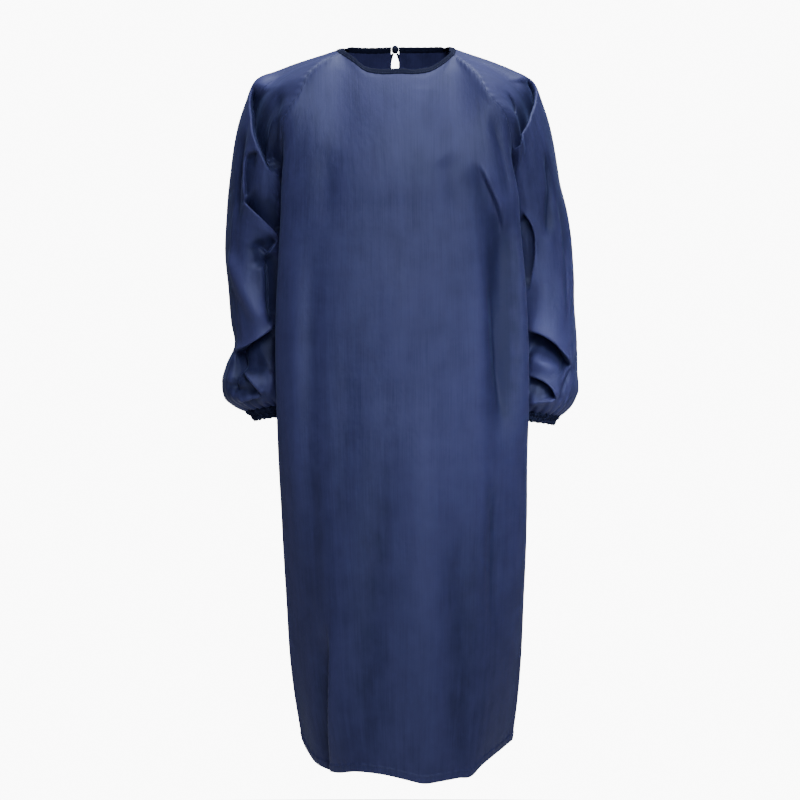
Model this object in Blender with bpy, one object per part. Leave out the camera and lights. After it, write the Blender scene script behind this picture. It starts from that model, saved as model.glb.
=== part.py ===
"""Sleeved work apron, worn and hanging, in metres with +Z up and the front facing -Y.

The origin is the middle of the neck at shoulder height, where the garment is held up.
Left and right are the viewer's.
"""

import math

import bpy
import numpy as np

# Driving sizes
wall = 0.0015               # cloth with its coating and the air in it
seam_gap = 0.0003           # between two pieces at a seam
binding_height = 0.009
binding_thick = 0.0030
back_opening = 0.012        # between the two back edges at the neck
tie_width = 0.008
tie_thick = 0.0020
tie_lift = 0.0022           # how far a tie lies off the back
tie_start = 0.0030          # how far from the middle a tie leaves the knot
tie_rows = 7                # how many rows of the back a tie reaches down
knot_size = (0.0114, 0.0120, 0.0140)
knot_cap = math.radians(72)  # where the knot's rounding ends in a small flat
knot_out = 0.0030
knot_drop = 0.0036
cloth_colour = (0.043, 0.062, 0.155)
trim_colour = (0.022, 0.031, 0.078)

# How finely each piece is divided
raglan_steps = 11           # front raglan seam, neck to underarm
back_raglan_steps = 10
neck_steps = 10             # front neck
shoulder_steps = 5          # neck edge of one sleeve
half_back_steps = 4         # neck edge of one back
yoke_rows = 9               # neck down to chest
skirt_rows = 18             # chest down to hem
edge_columns = 4            # side seam forward to the widest edge
sleeve_top_rows = 9
sleeve_rows = 17
cuff_rows = 3
loop_lean = 1.35            # above 1 packs the sleeve columns toward the shoulder
knot_sides = 12
knot_rings = 7
join_rounds = 6             # how often the shared edges are averaged
join_ease = 0.5             # share of that move that the next row makes too

# The underarm point of each side, where front, back and sleeve meet
underarm = {"left": (-0.148, -0.006, -0.200), "right": (0.154, -0.006, -0.200)}
side_seam_depth = -0.014
chest_height = -0.250

# Turns around the body: 0 centre front, 2 the widest edge, 3 the side seam, 6 centre back; the
# left side mirrors them below zero
edge_turn = 2.0
side_turn = 3.0
neck_turn = 0.80            # the ends of the front neck hang down to here
back_neck_turn = 5.20       # the outer ends of the back neck
back_edge_turn = 5.92       # the edges of the back opening

# The guide points of a body section between these turns, as shares of the way
front_quarter = (0.58, 0.20)  # from centre front to the widest edge: across, and in depth
back_side = 0.62            # depth just behind the side seam, as a share of the back's
back_quarter = (0.55, 0.93)  # from centre back to there: across, and in depth

# Body sections from the chest down. left and right are the widest points, which lie forward of
# the sleeves at the depth edge; side_left and side_right are the side seams; back is the depth
# behind.
section_columns = ("height", "left", "right", "front", "edge",
                   "side_left", "side_right", "back_left", "back_right", "back")
section_rows = (
    (-0.250, -0.1770, 0.1940, -0.126, -0.078, -0.142, 0.148, -0.128, 0.134, 0.108),
    (-0.330, -0.1810, 0.2015, -0.131, -0.080, -0.138, 0.152, -0.130, 0.138, 0.110),
    (-0.415, -0.1837, 0.2046, -0.134, -0.080, -0.136, 0.156, -0.132, 0.142, 0.110),
    (-0.560, -0.1820, 0.2060, -0.136, -0.078, -0.136, 0.158, -0.134, 0.146, 0.112),
    (-0.640, -0.1785, 0.2020, -0.137, -0.066, -0.152, 0.176, -0.142, 0.158, 0.116),
    (-0.740, -0.1705, 0.1995, -0.138, -0.050, -0.162, 0.190, -0.146, 0.168, 0.120),
    (-0.860, -0.1615, 0.1955, -0.139, -0.040, -0.160, 0.190, -0.146, 0.168, 0.124),
    (-0.960, -0.1550, 0.1895, -0.141, -0.036, -0.155, 0.186, -0.142, 0.164, 0.126),
    (-1.030, -0.1465, 0.1820, -0.143, -0.034, -0.146, 0.180, -0.135, 0.158, 0.128),
    (-1.080, -0.1370, 0.1745, -0.145, -0.034, -0.138, 0.172, -0.128, 0.152, 0.129),
    (-1.140, -0.1260, 0.1630, -0.146, -0.034, -0.128, 0.162, -0.120, 0.144, 0.130),
)

# Hem height by turn around the body
hem_columns = ("turn", "height")
hem_rows = (
    (-6.0, -1.086), (-4.5, -1.084), (-3.0, -1.074), (-2.3, -1.076), (-2.0, -1.092), (-1.8, -1.106),
    (-1.3, -1.120), (-0.9, -1.117), (-0.4, -1.121), (0.0, -1.129), (0.3, -1.1345), (0.6, -1.131),
    (0.9, -1.127), (1.2, -1.123), (1.32, -1.112), (1.55, -1.098), (1.8, -1.087), (2.0, -1.079),
    (2.3, -1.073), (3.0, -1.072), (4.5, -1.082), (6.0, -1.086),
)

# Raglan seams from the neck to the underarm, and the neck edge, each row a point (x, y, z)
front_raglan_rows = {
    "left": (
        (-0.0860, -0.022, -0.0080),
        (-0.1160, -0.050, -0.0240),
        (-0.1320, -0.066, -0.0400),
        (-0.1490, -0.080, -0.0760),
        (-0.1640, -0.084, -0.0990),
        (-0.1720, -0.080, -0.1130),
        (-0.1740, -0.066, -0.1440),
        (-0.1690, -0.034, -0.1790),
        underarm["left"],
    ),
    "right": (
        (0.0915, -0.022, -0.0110),
        (0.1085, -0.044, -0.0250),
        (0.1290, -0.066, -0.0465),
        (0.1400, -0.080, -0.0680),
        (0.1510, -0.085, -0.0830),
        (0.1660, -0.085, -0.1000),
        (0.1750, -0.080, -0.1200),
        (0.1800, -0.066, -0.1500),
        (0.1740, -0.034, -0.1800),
        underarm["right"],
    ),
}
back_raglan_rows = {
    "left": (
        (-0.078, 0.042, -0.003),
        (-0.108, 0.070, -0.028),
        (-0.132, 0.086, -0.070),
        (-0.150, 0.084, -0.115),
        (-0.160, 0.066, -0.150),
        (-0.160, 0.032, -0.182),
        underarm["left"],
    ),
    "right": (
        (0.082, 0.042, -0.003),
        (0.112, 0.070, -0.028),
        (0.136, 0.086, -0.070),
        (0.155, 0.084, -0.115),
        (0.166, 0.066, -0.150),
        (0.166, 0.032, -0.182),
        underarm["right"],
    ),
}
neck_rows = (
    front_raglan_rows["left"][0],
    (-0.0640, -0.0440, -0.0240),
    (-0.0450, -0.0560, -0.0385),
    (-0.0230, -0.0610, -0.0430),
    (0.0080, -0.0620, -0.0425),
    (0.0280, -0.0610, -0.0430),
    (0.0540, -0.0550, -0.0390),
    (0.0740, -0.0420, -0.0270),
    front_raglan_rows["right"][0],
)
shoulder_middle = {"left": (-0.0900, 0.008, -0.0030), "right": (0.0930, 0.008, -0.0010)}
back_neck_middle = {"left": (-0.045, 0.057, -0.004), "right": (0.048, 0.057, -0.003)}
back_neck_end = (back_opening / 2, 0.062, -0.003)

# How the cloth of the yoke leaves a raglan seam, for a fall of 1
yoke_forward = -0.60        # front panel, at the neck
yoke_backward = 0.55        # back panels, at the neck
yoke_fade = 1.5             # how fast that dies out toward the underarm
yoke_inward = 0.22          # at the underarm
yoke_flat = 0.20            # share of the fall that is missing at the neck

# How a sleeve leaves its seam: the value on its outer line, and what is added by the underarm
neck_half_angle = math.radians(35)  # of the sleeve's section that hangs from the neck edge
sleeve_out = (1.00, -0.45)
sleeve_round = (0.10, 0.45)  # toward the front and the back
sleeve_fall = (-0.30, -0.70)
sleeve_lean = 0.35          # share of this way kept beside the way square to the seam
sleeve_fullness = (1.24, 0.32)  # length of the cap's curve: its mean, and the outer line's extra
sleeve_corner = (-0.11, 0.34)  # what squares the shoulder: added at the seam, and below the cap
width_weight = 0.6          # how much a change of width counts when rows are spaced

# Sleeve sections from the armhole to the wrist. outer is the outline's x, tilt is how much lower
# the outer side lies than the inner one.
sleeve_columns = ("height", "outer", "width", "depth", "middle", "tilt")
sleeve_section_rows = {
    "left": (
        (-0.225, -0.2555, 0.1000, 0.146, 0.029, -0.070),
        (-0.275, -0.2615, 0.1040, 0.136, 0.030, -0.050),
        (-0.330, -0.2650, 0.1060, 0.128, 0.029, -0.030),
        (-0.380, -0.2595, 0.1010, 0.122, 0.027, -0.015),
        (-0.425, -0.2550, 0.0960, 0.116, 0.024, 0.000),
        (-0.460, -0.2503, 0.0900, 0.110, 0.021, 0.000),
        (-0.492, -0.2635, 0.1060, 0.122, 0.020, 0.000),
        (-0.522, -0.2697, 0.1160, 0.132, 0.020, 0.004),
        (-0.540, -0.2640, 0.1090, 0.122, 0.019, 0.010),
        (-0.551, -0.2480, 0.0920, 0.098, 0.018, 0.012),
        (-0.557, -0.2330, 0.0780, 0.078, 0.018, 0.012),
    ),
    "right": (
        (-0.225, 0.2545, 0.0980, 0.146, 0.030, -0.070),
        (-0.275, 0.2640, 0.1000, 0.136, 0.034, -0.050),
        (-0.330, 0.2725, 0.1020, 0.126, 0.034, -0.030),
        (-0.390, 0.2795, 0.1050, 0.122, 0.032, -0.010),
        (-0.450, 0.2837, 0.1060, 0.122, 0.029, 0.000),
        (-0.500, 0.2845, 0.1100, 0.126, 0.028, 0.000),
        (-0.530, 0.2850, 0.1140, 0.128, 0.028, 0.006),
        (-0.549, 0.2755, 0.1040, 0.116, 0.026, 0.010),
        (-0.5595, 0.2640, 0.0920, 0.096, 0.024, 0.012),
        (-0.565, 0.2560, 0.0820, 0.080, 0.024, 0.012),
    ),
}
# The cuff's lower edge, in the sleeves' columns
cuff_bottom_row = {
    "left": (-0.5735, -0.2165, 0.0700, 0.066, 0.018, 0.009),
    "right": (-0.5805, 0.2455, 0.0740, 0.068, 0.024, 0.009),
}

# Largest folds: a soft ridge (height above zero) or trough along a line seen from the front or
# the back, bowed sideways by bend at its middle.
fold_columns = ("x0", "z0", "x1", "z1", "bend", "width", "height")
front_folds = (
    (0.128, -0.170, 0.184, -0.300, 0.006, 0.012, 0.012),
    (0.112, -0.190, 0.160, -0.330, 0.006, 0.014, -0.012),
    (0.163, -0.270, 0.168, -0.640, 0.000, 0.014, -0.020),
    (0.172, -0.110, 0.168, -0.240, 0.000, 0.008, -0.010),
    (0.146, -0.330, 0.128, -0.900, 0.006, 0.018, 0.006),
    (0.154, -0.660, 0.150, -0.900, 0.000, 0.014, -0.010),
    (-0.095, -0.140, -0.120, -0.300, 0.008, 0.020, -0.008),
    (-0.150, -0.250, -0.150, -0.800, 0.004, 0.020, 0.006),
    (-0.098, -0.880, -0.100, -1.150, 0.000, 0.016, 0.012),
    (-0.122, -0.900, -0.120, -1.150, 0.000, 0.014, -0.010),
    (-0.020, -0.560, -0.045, -1.150, 0.006, 0.030, -0.007),
    (0.040, -0.500, 0.045, -1.150, 0.004, 0.034, 0.007),
    (0.100, -0.700, 0.104, -1.150, 0.004, 0.026, -0.008),
)
back_folds = (
    (-0.085, -0.200, -0.070, -0.900, 0.010, 0.022, -0.010),
    (-0.050, -0.450, -0.040, -1.150, 0.004, 0.024, 0.008),
    (0.090, -0.220, 0.078, -1.000, -0.010, 0.022, -0.010),
    (0.046, -0.500, 0.050, -1.150, 0.004, 0.024, 0.008),
    (-0.112, -0.620, -0.105, -1.150, 0.004, 0.020, 0.008),
    (0.124, -0.640, 0.120, -1.150, 0.004, 0.020, 0.008),
)
sleeve_folds = {
    "left": (
        (-0.222, -0.086, -0.194, -0.205, 0.006, 0.012, 0.007),
        (-0.205, -0.080, -0.178, -0.200, 0.004, 0.012, -0.016),
        (-0.243, -0.150, -0.240, -0.285, 0.000, 0.010, -0.010),
        (-0.240, -0.238, -0.184, -0.292, 0.006, 0.012, 0.010),
        (-0.252, -0.305, -0.198, -0.425, 0.006, 0.018, 0.012),
        (-0.188, -0.425, -0.252, -0.478, 0.006, 0.013, -0.015),
        (-0.236, -0.500, -0.200, -0.545, 0.004, 0.012, 0.007),
    ),
    "right": (
        (0.210, -0.060, 0.182, -0.180, 0.008, 0.010, -0.016),
        (0.172, -0.078, 0.188, -0.110, 0.004, 0.010, 0.008),
        (0.238, -0.170, 0.240, -0.350, 0.004, 0.010, -0.013),
        (0.206, -0.250, 0.208, -0.400, 0.000, 0.014, -0.014),
        (0.204, -0.432, 0.278, -0.492, -0.014, 0.014, -0.018),
        (0.205, -0.480, 0.262, -0.520, -0.006, 0.016, 0.010),
        (0.210, -0.528, 0.246, -0.530, 0.000, 0.010, -0.010),
    ),
}
sleeve_back_folds = {
    "left": (
        (-0.230, -0.090, -0.190, -0.230, 0.006, 0.016, -0.010),
        (-0.196, -0.420, -0.250, -0.465, 0.006, 0.014, -0.012),
        (-0.240, -0.300, -0.205, -0.400, 0.006, 0.018, 0.008),
    ),
    "right": (
        (0.232, -0.090, 0.196, -0.230, 0.006, 0.016, -0.010),
        (0.206, -0.430, 0.272, -0.480, -0.010, 0.014, -0.014),
        (0.240, -0.280, 0.215, -0.400, 0.006, 0.018, 0.008),
    ),
}
gather_depth = 0.0016       # each gather at the wrist, one up and one down
gather_length = 0.055       # how far up the sleeve they run
gather_fade = 1.5
seam_fade = (0.0, 0.4, 0.8)  # share of a fold left in the first rows beside a seam
fold_end = 0.22             # share of a fold's length over which it fades out
fold_reach = 2.5            # how soon a fold drawn from the front is whole as the cloth turns forward
crease_limit = 0.6          # below this cosine two sewn surfaces face each other
ease_limit = 0.75           # below this cosine a place is flattened
ease_rounds = 12

# The neck binding, as shares of its height, and its ties
binding_clear = 1.6         # its lower edge above the cloth, in seam gaps
binding_shoulder = 0.75     # where its top starts to round
binding_upright = 0.9       # pull toward standing straight up
tie_end = 0.86              # width of a tie's start, as a share of its distance from the middle
tie_drift = (0.16, 0.90)    # where a tie lies between the last two columns, top and added by its end
tie_splay = 0.25


def clear_scene():
    for item in list(bpy.data.objects):
        bpy.data.objects.remove(item, do_unlink=True)


def column(rows, names, name):
    return np.array([row[names.index(name)] for row in rows])


def between(knots, values, at):
    """Smooth curve through values at rising knots."""
    slopes = np.gradient(values, knots, axis=0)
    k = np.clip(np.searchsorted(knots, at, side="right") - 1, 0, len(knots) - 2)
    span = knots[k + 1] - knots[k]
    t = np.clip((at - knots[k]) / span, 0.0, 1.0)
    shape = t.shape + (1,) * (np.ndim(values) - 1)
    t = t.reshape(shape)
    span = span.reshape(shape)
    rise = t * t * (3 - 2 * t)
    return (values[k] * (1 - rise) + values[k + 1] * rise
            + span * (t * (1 - t) ** 2 * slopes[k] - t * t * (1 - t) * slopes[k + 1]))


def along(points, steps):
    """Evenly spaced points on a smooth curve through the given ones, both ends kept."""
    points = np.array(points, dtype=float)
    lengths = np.linalg.norm(np.diff(points, axis=0), axis=1)
    knots = np.concatenate(([0.0], np.cumsum(lengths)))
    return between(knots, points, np.linspace(0.0, knots[-1], steps + 1))


def unit(vectors):
    return vectors / np.maximum(np.linalg.norm(vectors, axis=-1, keepdims=True), 1e-12)


def hermite(start, leave, end, arrive, t):
    """Curves from start to end; t runs down the rows, the points across the columns."""
    t = t[:, None, None]
    a = 2 * t ** 3 - 3 * t ** 2 + 1
    b = t ** 3 - 2 * t ** 2 + t
    c = -2 * t ** 3 + 3 * t ** 2
    d = t ** 3 - t ** 2
    return a * start + b * leave + c * end + d * arrive


def section(height):
    """The body's twelve guide points at each height, from centre front round by the right."""
    table = {name: between(-column(section_rows, section_columns, "height"),
                           column(section_rows, section_columns, name), -height)
             for name in section_columns}
    centre = (table["left"] + table["right"]) / 2
    back_centre = (table["back_left"] + table["back_right"]) / 2
    side_depth = 0 * height + side_seam_depth

    def half(edge, side, back):
        return (
            (centre + front_quarter[0] * (edge - centre),
             table["front"] + front_quarter[1] * (table["edge"] - table["front"])),
            (edge, table["edge"]),
            (side, side_depth),
            (back, back_side * table["back"]),
            (back_centre + back_quarter[0] * (back - back_centre), back_quarter[1] * table["back"]),
        )

    right = half(table["right"], table["side_right"], table["back_right"])
    left = half(table["left"], table["side_left"], table["back_left"])
    guide = ((centre, table["front"]),) + right + ((back_centre, table["back"]),) + left[::-1]
    return np.stack([np.stack([x, y, height], axis=-1) for x, y in guide], axis=-2)


def body_point(turn, height):
    """A point on the body at a turn of -6 to 6 and a height; both are arrays of one shape."""
    guide = section(height)
    count = guide.shape[-2]
    place = np.mod(turn, count)
    k = np.floor(place).astype(int)
    t = (place - k)[..., None]

    def pick(offset):
        index = np.broadcast_to(((k + offset) % count)[..., None, None], guide.shape[:-2] + (1, 3))
        return np.take_along_axis(guide, index, axis=-2)[..., 0, :]

    p0, p1, p2, p3 = pick(-1), pick(0), pick(1), pick(2)
    return 0.5 * (2 * p1 + (p2 - p0) * t + (2 * p0 - 5 * p1 + 4 * p2 - p3) * t ** 2
                  + (3 * p1 - p0 - 3 * p2 + p3) * t ** 3)


def panel(top, turns, slopes):
    """Rows of points from a top edge over the chest section down to the hem."""
    chest = body_point(turns, np.full(turns.shape, chest_height))
    reach = np.linalg.norm(chest - top, axis=1, keepdims=True)
    plumb = np.array([0.0, 0.0, -1.0])
    yoke = hermite(top, unit(slopes) * reach, chest, plumb * reach, np.linspace(0.0, 1.0, yoke_rows + 1))
    hem = between(column(hem_rows, hem_columns, "turn"), column(hem_rows, hem_columns, "height"), turns)
    fall = np.linspace(0.0, 1.0, skirt_rows + 1)[1:, None]
    heights = chest_height + (hem - chest_height) * fall
    skirt = body_point(np.broadcast_to(turns, heights.shape), heights)
    return np.concatenate([yoke, skirt])


def raglan_slopes(steps, forward, sign):
    """Directions in which the columns leave a raglan seam, from the neck to the underarm."""
    reach = np.linspace(0.0, 1.0, steps + 1)
    inward = -sign * yoke_inward * reach ** 2
    depth = forward * (1 - reach) ** yoke_fade
    return np.stack([inward, depth, yoke_flat * (1 - reach) - 1], axis=1)


def front_grid():
    left = along(front_raglan_rows["left"], raglan_steps)[::-1]
    neck = along(neck_rows, neck_steps)
    right = along(front_raglan_rows["right"], raglan_steps)
    top = np.concatenate([left[:-1], neck, right[1:]])
    side = np.concatenate([np.linspace(side_turn, edge_turn, edge_columns + 1)[:-1],
                           np.linspace(edge_turn, neck_turn, raglan_steps + 1 - edge_columns)])
    turns = np.concatenate([-side[:-1], np.linspace(-neck_turn, neck_turn, neck_steps + 1), side[::-1][1:]])
    seam_left = raglan_slopes(raglan_steps, yoke_forward, -1)
    seam_right = raglan_slopes(raglan_steps, yoke_forward, 1)
    neck_slopes = np.repeat(seam_left[:1], neck_steps + 1, axis=0)
    slopes = np.concatenate([seam_left[::-1][:-1], neck_slopes, seam_right[1:]])
    return panel(top, turns, slopes)


def back_grid(side):
    sign = -1 if side == "left" else 1
    neck_end = (sign * back_neck_end[0],) + back_neck_end[1:]
    raglan = along(back_raglan_rows[side], back_raglan_steps)[::-1]
    neck = along((back_raglan_rows[side][0], back_neck_middle[side], neck_end), half_back_steps)
    top = np.concatenate([raglan[:-1], neck])
    outer = np.linspace(side_turn, back_neck_turn, back_raglan_steps + 1)
    inner = np.linspace(back_neck_turn, back_edge_turn, half_back_steps + 1)
    turns = sign * np.concatenate([outer[:-1], inner])
    seam = raglan_slopes(back_raglan_steps, yoke_backward, sign)
    slopes = np.concatenate([seam[::-1][:-1], np.repeat(seam[:1], half_back_steps + 1, axis=0)])
    return panel(top, turns, slopes)


def ring(row_values, angles, sign):
    """One sleeve section; angle 0 is the outer line, a quarter turn the front."""
    height, outer, width, depth, middle, tilt = row_values
    centre = outer - sign * width / 2
    cos, sin = np.cos(angles), np.sin(angles)
    x = centre + sign * width / 2 * cos
    y = middle - depth / 2 * sin
    z = height - tilt / 2 * cos
    return np.stack([x, y, z], axis=-1)


def sleeve_loop(side):
    """The raglan loop from the front neck down to the underarm, up the back and over the neck."""
    front = along(front_raglan_rows[side], raglan_steps)
    back = along(back_raglan_rows[side], back_raglan_steps)[::-1]
    neck_ends = (back_raglan_rows[side][0], shoulder_middle[side], front_raglan_rows[side][0])
    neck = along(neck_ends, shoulder_steps)
    return np.concatenate([front[:-1], back[:-1], neck[:-1]])


def sleeve_angles():
    """The angle on the sleeve that each point of the loop leads to."""
    rest = math.pi - neck_half_angle
    front = neck_half_angle + rest * np.linspace(0.0, 1.0, raglan_steps + 1) ** loop_lean
    back = math.pi + rest - rest * np.linspace(1.0, 0.0, back_raglan_steps + 1) ** loop_lean
    neck = np.linspace(-neck_half_angle, neck_half_angle, shoulder_steps + 1)
    return np.concatenate([front[:-1], back[:-1], neck[:-1]])


def sleeve_grid(side):
    sign = -1 if side == "left" else 1
    loop, angles = sleeve_loop(side), sleeve_angles()
    rows = np.array(sleeve_section_rows[side])
    first = ring(rows[0], angles, sign)
    reach = np.linalg.norm(first - loop, axis=1, keepdims=True)
    inside = (1 - np.cos(angles)) / 2
    outward = sign * (sleeve_out[0] + sleeve_out[1] * inside)
    inward = (sleeve_round[0] + sleeve_round[1] * inside) * np.sin(angles)
    way = unit(np.stack([outward, inward, sleeve_fall[0] + sleeve_fall[1] * inside], axis=1))
    seam = unit(np.roll(loop, -1, axis=0) - np.roll(loop, 1, axis=0))
    square = unit(way - seam * np.sum(seam * way, axis=1, keepdims=True))
    leave = unit(square + sleeve_lean * way)
    arrive = ring(rows[1], angles, sign) - first
    fullness = (sleeve_fullness[0] + sleeve_fullness[1] * np.cos(angles))[:, None] * reach
    corner = np.maximum(np.cos(angles), 0.0)[:, None] ** 2 * reach
    top = hermite(loop, leave * (fullness + sleeve_corner[0] * corner),
                  first, unit(arrive) * (fullness + sleeve_corner[1] * corner),
                  np.linspace(0.0, 1.0, sleeve_top_rows + 1))
    widths = rows[:, sleeve_columns.index("width")]
    lengths = np.abs(np.diff(rows[:, 0])) + width_weight * np.abs(np.diff(widths))
    knots = np.concatenate(([0.0], np.cumsum(lengths)))
    lower = between(knots, rows, np.linspace(0.0, knots[-1], sleeve_rows + 1))[1:]
    return np.concatenate([top, np.stack([ring(row, angles, sign) for row in lower])])


def cuff_grid(side):
    sign = -1 if side == "left" else 1
    angles = sleeve_angles()
    start = np.array(sleeve_section_rows[side][-1])
    end = np.array(cuff_bottom_row[side])
    return np.stack([ring(start + (end - start) * k / cuff_rows, angles, sign) for k in range(cuff_rows + 1)])


def fold_heights(points, rows):
    """How far each point is lifted by the folds drawn over it."""
    lift = np.zeros(points.shape[:-1])
    place = points[..., [0, 2]]
    for row in rows:
        fold = dict(zip(fold_columns, row))
        start = np.array([fold["x0"], fold["z0"]])
        run = np.array([fold["x1"], fold["z1"]]) - start
        length = np.linalg.norm(run)
        way = run / length
        offset = place - start
        t = offset @ way / length
        inside = np.clip(t, 0.0, 1.0)
        across = offset @ np.array([-way[1], way[0]]) - fold["bend"] * 4 * inside * (1 - inside)
        ends = np.clip(np.minimum(t, 1 - t) / fold_end + 0.5, 0.0, 1.0)
        lift += fold["height"] * np.exp(-(across / fold["width"]) ** 2) * ends * ends * (3 - 2 * ends)
    return lift


def corners_of(points, round_it):
    """Unit normals of the four corners that meet at each point of a grid, zero where there is none."""
    corners = []
    for down, across in ((1, 1), (1, -1), (-1, 1), (-1, -1)):
        below = np.roll(points, -down, axis=0) - points
        beside = np.roll(points, -across, axis=1) - points
        corner = unit(np.cross(below, beside)) * down * across
        corner[-1 if down > 0 else 0] = 0.0
        if not round_it:
            corner[:, -1 if across > 0 else 0] = 0.0
        corners.append(corner)
    return np.array(corners)


def normals_of(points, round_it):
    """Unit normals of a grid, facing out of the garment."""
    return unit(corners_of(points, round_it).sum(axis=0))


def eased(points, round_it):
    """The points with every place flattened where the cloth would turn back on itself."""
    points = points.copy()
    for _ in range(ease_rounds):
        corners = corners_of(points, round_it)
        turn = np.sum(corners * unit(corners.sum(axis=0)), axis=-1)
        turn = np.where(np.any(corners, axis=-1), turn, 1.0).min(axis=0)
        share = np.clip((ease_limit - turn) / ease_limit, 0.0, 1.0)
        share = np.maximum(share, np.maximum(np.roll(share, 1, axis=1), np.roll(share, -1, axis=1)) / 2)
        share[0] = share[-1] = 0.0
        if not round_it:
            share[:, 0] = share[:, -1] = 0.0
        mean = (np.roll(points, 1, axis=0) + np.roll(points, -1, axis=0)
                + np.roll(points, 1, axis=1) + np.roll(points, -1, axis=1)) / 4
        points += (mean - points) * share[..., None]
    return points


def lifted(points, normals, rows, weight):
    """The points with the folds added, which fade out toward the seam or edge at the top."""
    rise = fold_heights(points, rows) * weight
    for row, part in enumerate(seam_fade):
        rise[row] *= part
    return points + normals * rise[..., None]


def gather_swing(columns):
    """Gathers: every second column out, the others in."""
    return np.where(np.arange(columns) % 2 == 0, gather_depth, -gather_depth)


def gathered(points, normals):
    """A sleeve with gathers that grow toward the wrist."""
    drop = np.cumsum(np.linalg.norm(np.diff(points[::-1], axis=0), axis=2).mean(axis=1))
    rise = np.concatenate(([0.0], drop))[::-1]
    strength = np.clip(1 - rise / gather_length, 0.0, 1.0) ** gather_fade
    return points + normals * (strength[:, None] * gather_swing(points.shape[1]))[..., None]


def top_edge(piece, columns):
    """A piece's upper edge over the given columns, with the way to its next row."""
    return piece, np.zeros(len(columns), dtype=int), columns, (1, 0)


def side_edge(piece, column_index, inward):
    rows = np.arange(yoke_rows + skirt_rows + 1)
    return piece, rows, np.full(rows.shape, column_index), (0, inward)


def seams():
    """Every pair of edges that are sewn together, with their points in the same order."""
    front_last = 2 * raglan_steps + neck_steps
    down = np.arange(raglan_steps + 1)
    down_back = np.arange(back_raglan_steps, -1, -1)
    loop = np.arange(raglan_steps + back_raglan_steps + shoulder_steps)
    wrist = np.full(loop.shape, sleeve_top_rows + sleeve_rows)
    pairs = []
    for side in ("left", "right"):
        sleeve, back, cuff = "sleeve_" + side, "back_" + side, "cuff_" + side
        front_columns = raglan_steps - down if side == "left" else front_last - raglan_steps + down
        pairs.append((top_edge("front_panel", front_columns), top_edge(sleeve, down)))
        loop_back = raglan_steps + back_raglan_steps - down_back
        pairs.append((top_edge(back, back_raglan_steps - down_back), top_edge(sleeve, loop_back)))
        front_edge, inward = (0, 1) if side == "left" else (front_last, -1)
        pairs.append((side_edge("front_panel", front_edge, inward), side_edge(back, 0, 1)))
        pairs.append(((sleeve, wrist, loop, (-1, 0)), top_edge(cuff, loop)))
    return pairs


def join_edges(fields, pairs, ease):
    """Moves the points of each seam's two edges to their mean, and ease of that in the next row."""
    for _ in range(join_rounds):
        for first, second in pairs:
            a = fields[first[0]][first[1], first[2]]
            b = fields[second[0]][second[1], second[2]]
            mean = (a + b) / 2
            for (piece, rows, columns, step), old in ((first, a), (second, b)):
                field = fields[piece]
                field[rows, columns] = mean
                if ease:
                    field[rows + step[0], columns + step[1]] += (mean - old) * ease


def open_creases(grids, normals, pairs):
    """Turns the normals out of the crease where two sewn surfaces face each other."""
    for edges in pairs:
        sides = []
        for piece, rows, columns, step in edges:
            way = unit(grids[piece][rows + step[0], columns + step[1]] - grids[piece][rows, columns])
            sides.append((normals[piece][rows, columns], way))
        (a, way_a), (b, way_b) = sides
        closed = np.clip(crease_limit - np.sum(a * b, axis=1, keepdims=True), 0.0, 1.0)
        mean = unit(a + b + closed * (way_a + way_b))
        for piece, rows, columns, _ in edges:
            normals[piece][rows, columns] = mean


def parted(grids, pairs):
    """The points with each seam's two edges drawn apart by the seam gap."""
    moved = {name: points.copy() for name, points in grids.items()}
    for edges in pairs:
        ways = []
        for piece, rows, columns, step in edges:
            ways.append(unit(grids[piece][rows + step[0], columns + step[1]] - grids[piece][rows, columns]))
        apart = unit(ways[0] - ways[1]) * seam_gap / 2
        for (piece, rows, columns, _), shift in zip(edges, (apart, -apart)):
            moved[piece][rows, columns] += shift
    return moved


def make_object(name, vertices, faces, material):
    mesh = bpy.data.meshes.new(name)
    mesh.from_pydata([tuple(v) for v in vertices], [], faces)
    mesh.shade_smooth()
    mesh.materials.append(material)
    mesh.validate()
    item = bpy.data.objects.new(name, mesh)
    bpy.context.scene.collection.objects.link(item)
    return item


def make_wall(name, points, normals, round_it, material, flip):
    """One closed solid: an outer and an inner sheet a wall apart, joined around their edges."""
    rows, columns = points.shape[:2]
    outer = (points + normals * wall / 2).reshape(-1, 3)
    inner = (points - normals * wall / 2).reshape(-1, 3)
    shift = len(outer)
    faces = []
    last = columns if round_it else columns - 1
    for i in range(rows - 1):
        for j in range(last):
            k = (j + 1) % columns
            quad = (i * columns + j, (i + 1) * columns + j, (i + 1) * columns + k, i * columns + k)
            faces.append(quad)
            faces.append(tuple(shift + v for v in reversed(quad)))
    for j in range(last):
        k = (j + 1) % columns
        faces.append((j, k, shift + k, shift + j))
        base = (rows - 1) * columns
        faces.append((base + k, base + j, shift + base + j, shift + base + k))
    if not round_it:
        for i in range(rows - 1):
            a, b = i * columns, (i + 1) * columns
            faces.append((b, a, shift + a, shift + b))
            a, b = a + columns - 1, b + columns - 1
            faces.append((a, b, shift + b, shift + a))
    if flip:
        faces = [tuple(reversed(face)) for face in faces]
    return make_object(name, np.concatenate([outer, inner]), faces, material)


def make_strip(name, profiles, material, flip=False):
    """One closed solid through a row of equal profiles, with both ends capped."""
    profiles = np.array(profiles)
    count, sides = profiles.shape[:2]
    faces = []
    for i in range(count - 1):
        for j in range(sides):
            k = (j + 1) % sides
            faces.append((i * sides + j, i * sides + k, (i + 1) * sides + k, (i + 1) * sides + j))
    faces.append(tuple(range(sides))[::-1])
    faces.append(tuple((count - 1) * sides + j for j in range(sides)))
    if flip:
        faces = [tuple(reversed(face)) for face in faces]
    return make_object(name, profiles.reshape(-1, 3), faces, material)


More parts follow.
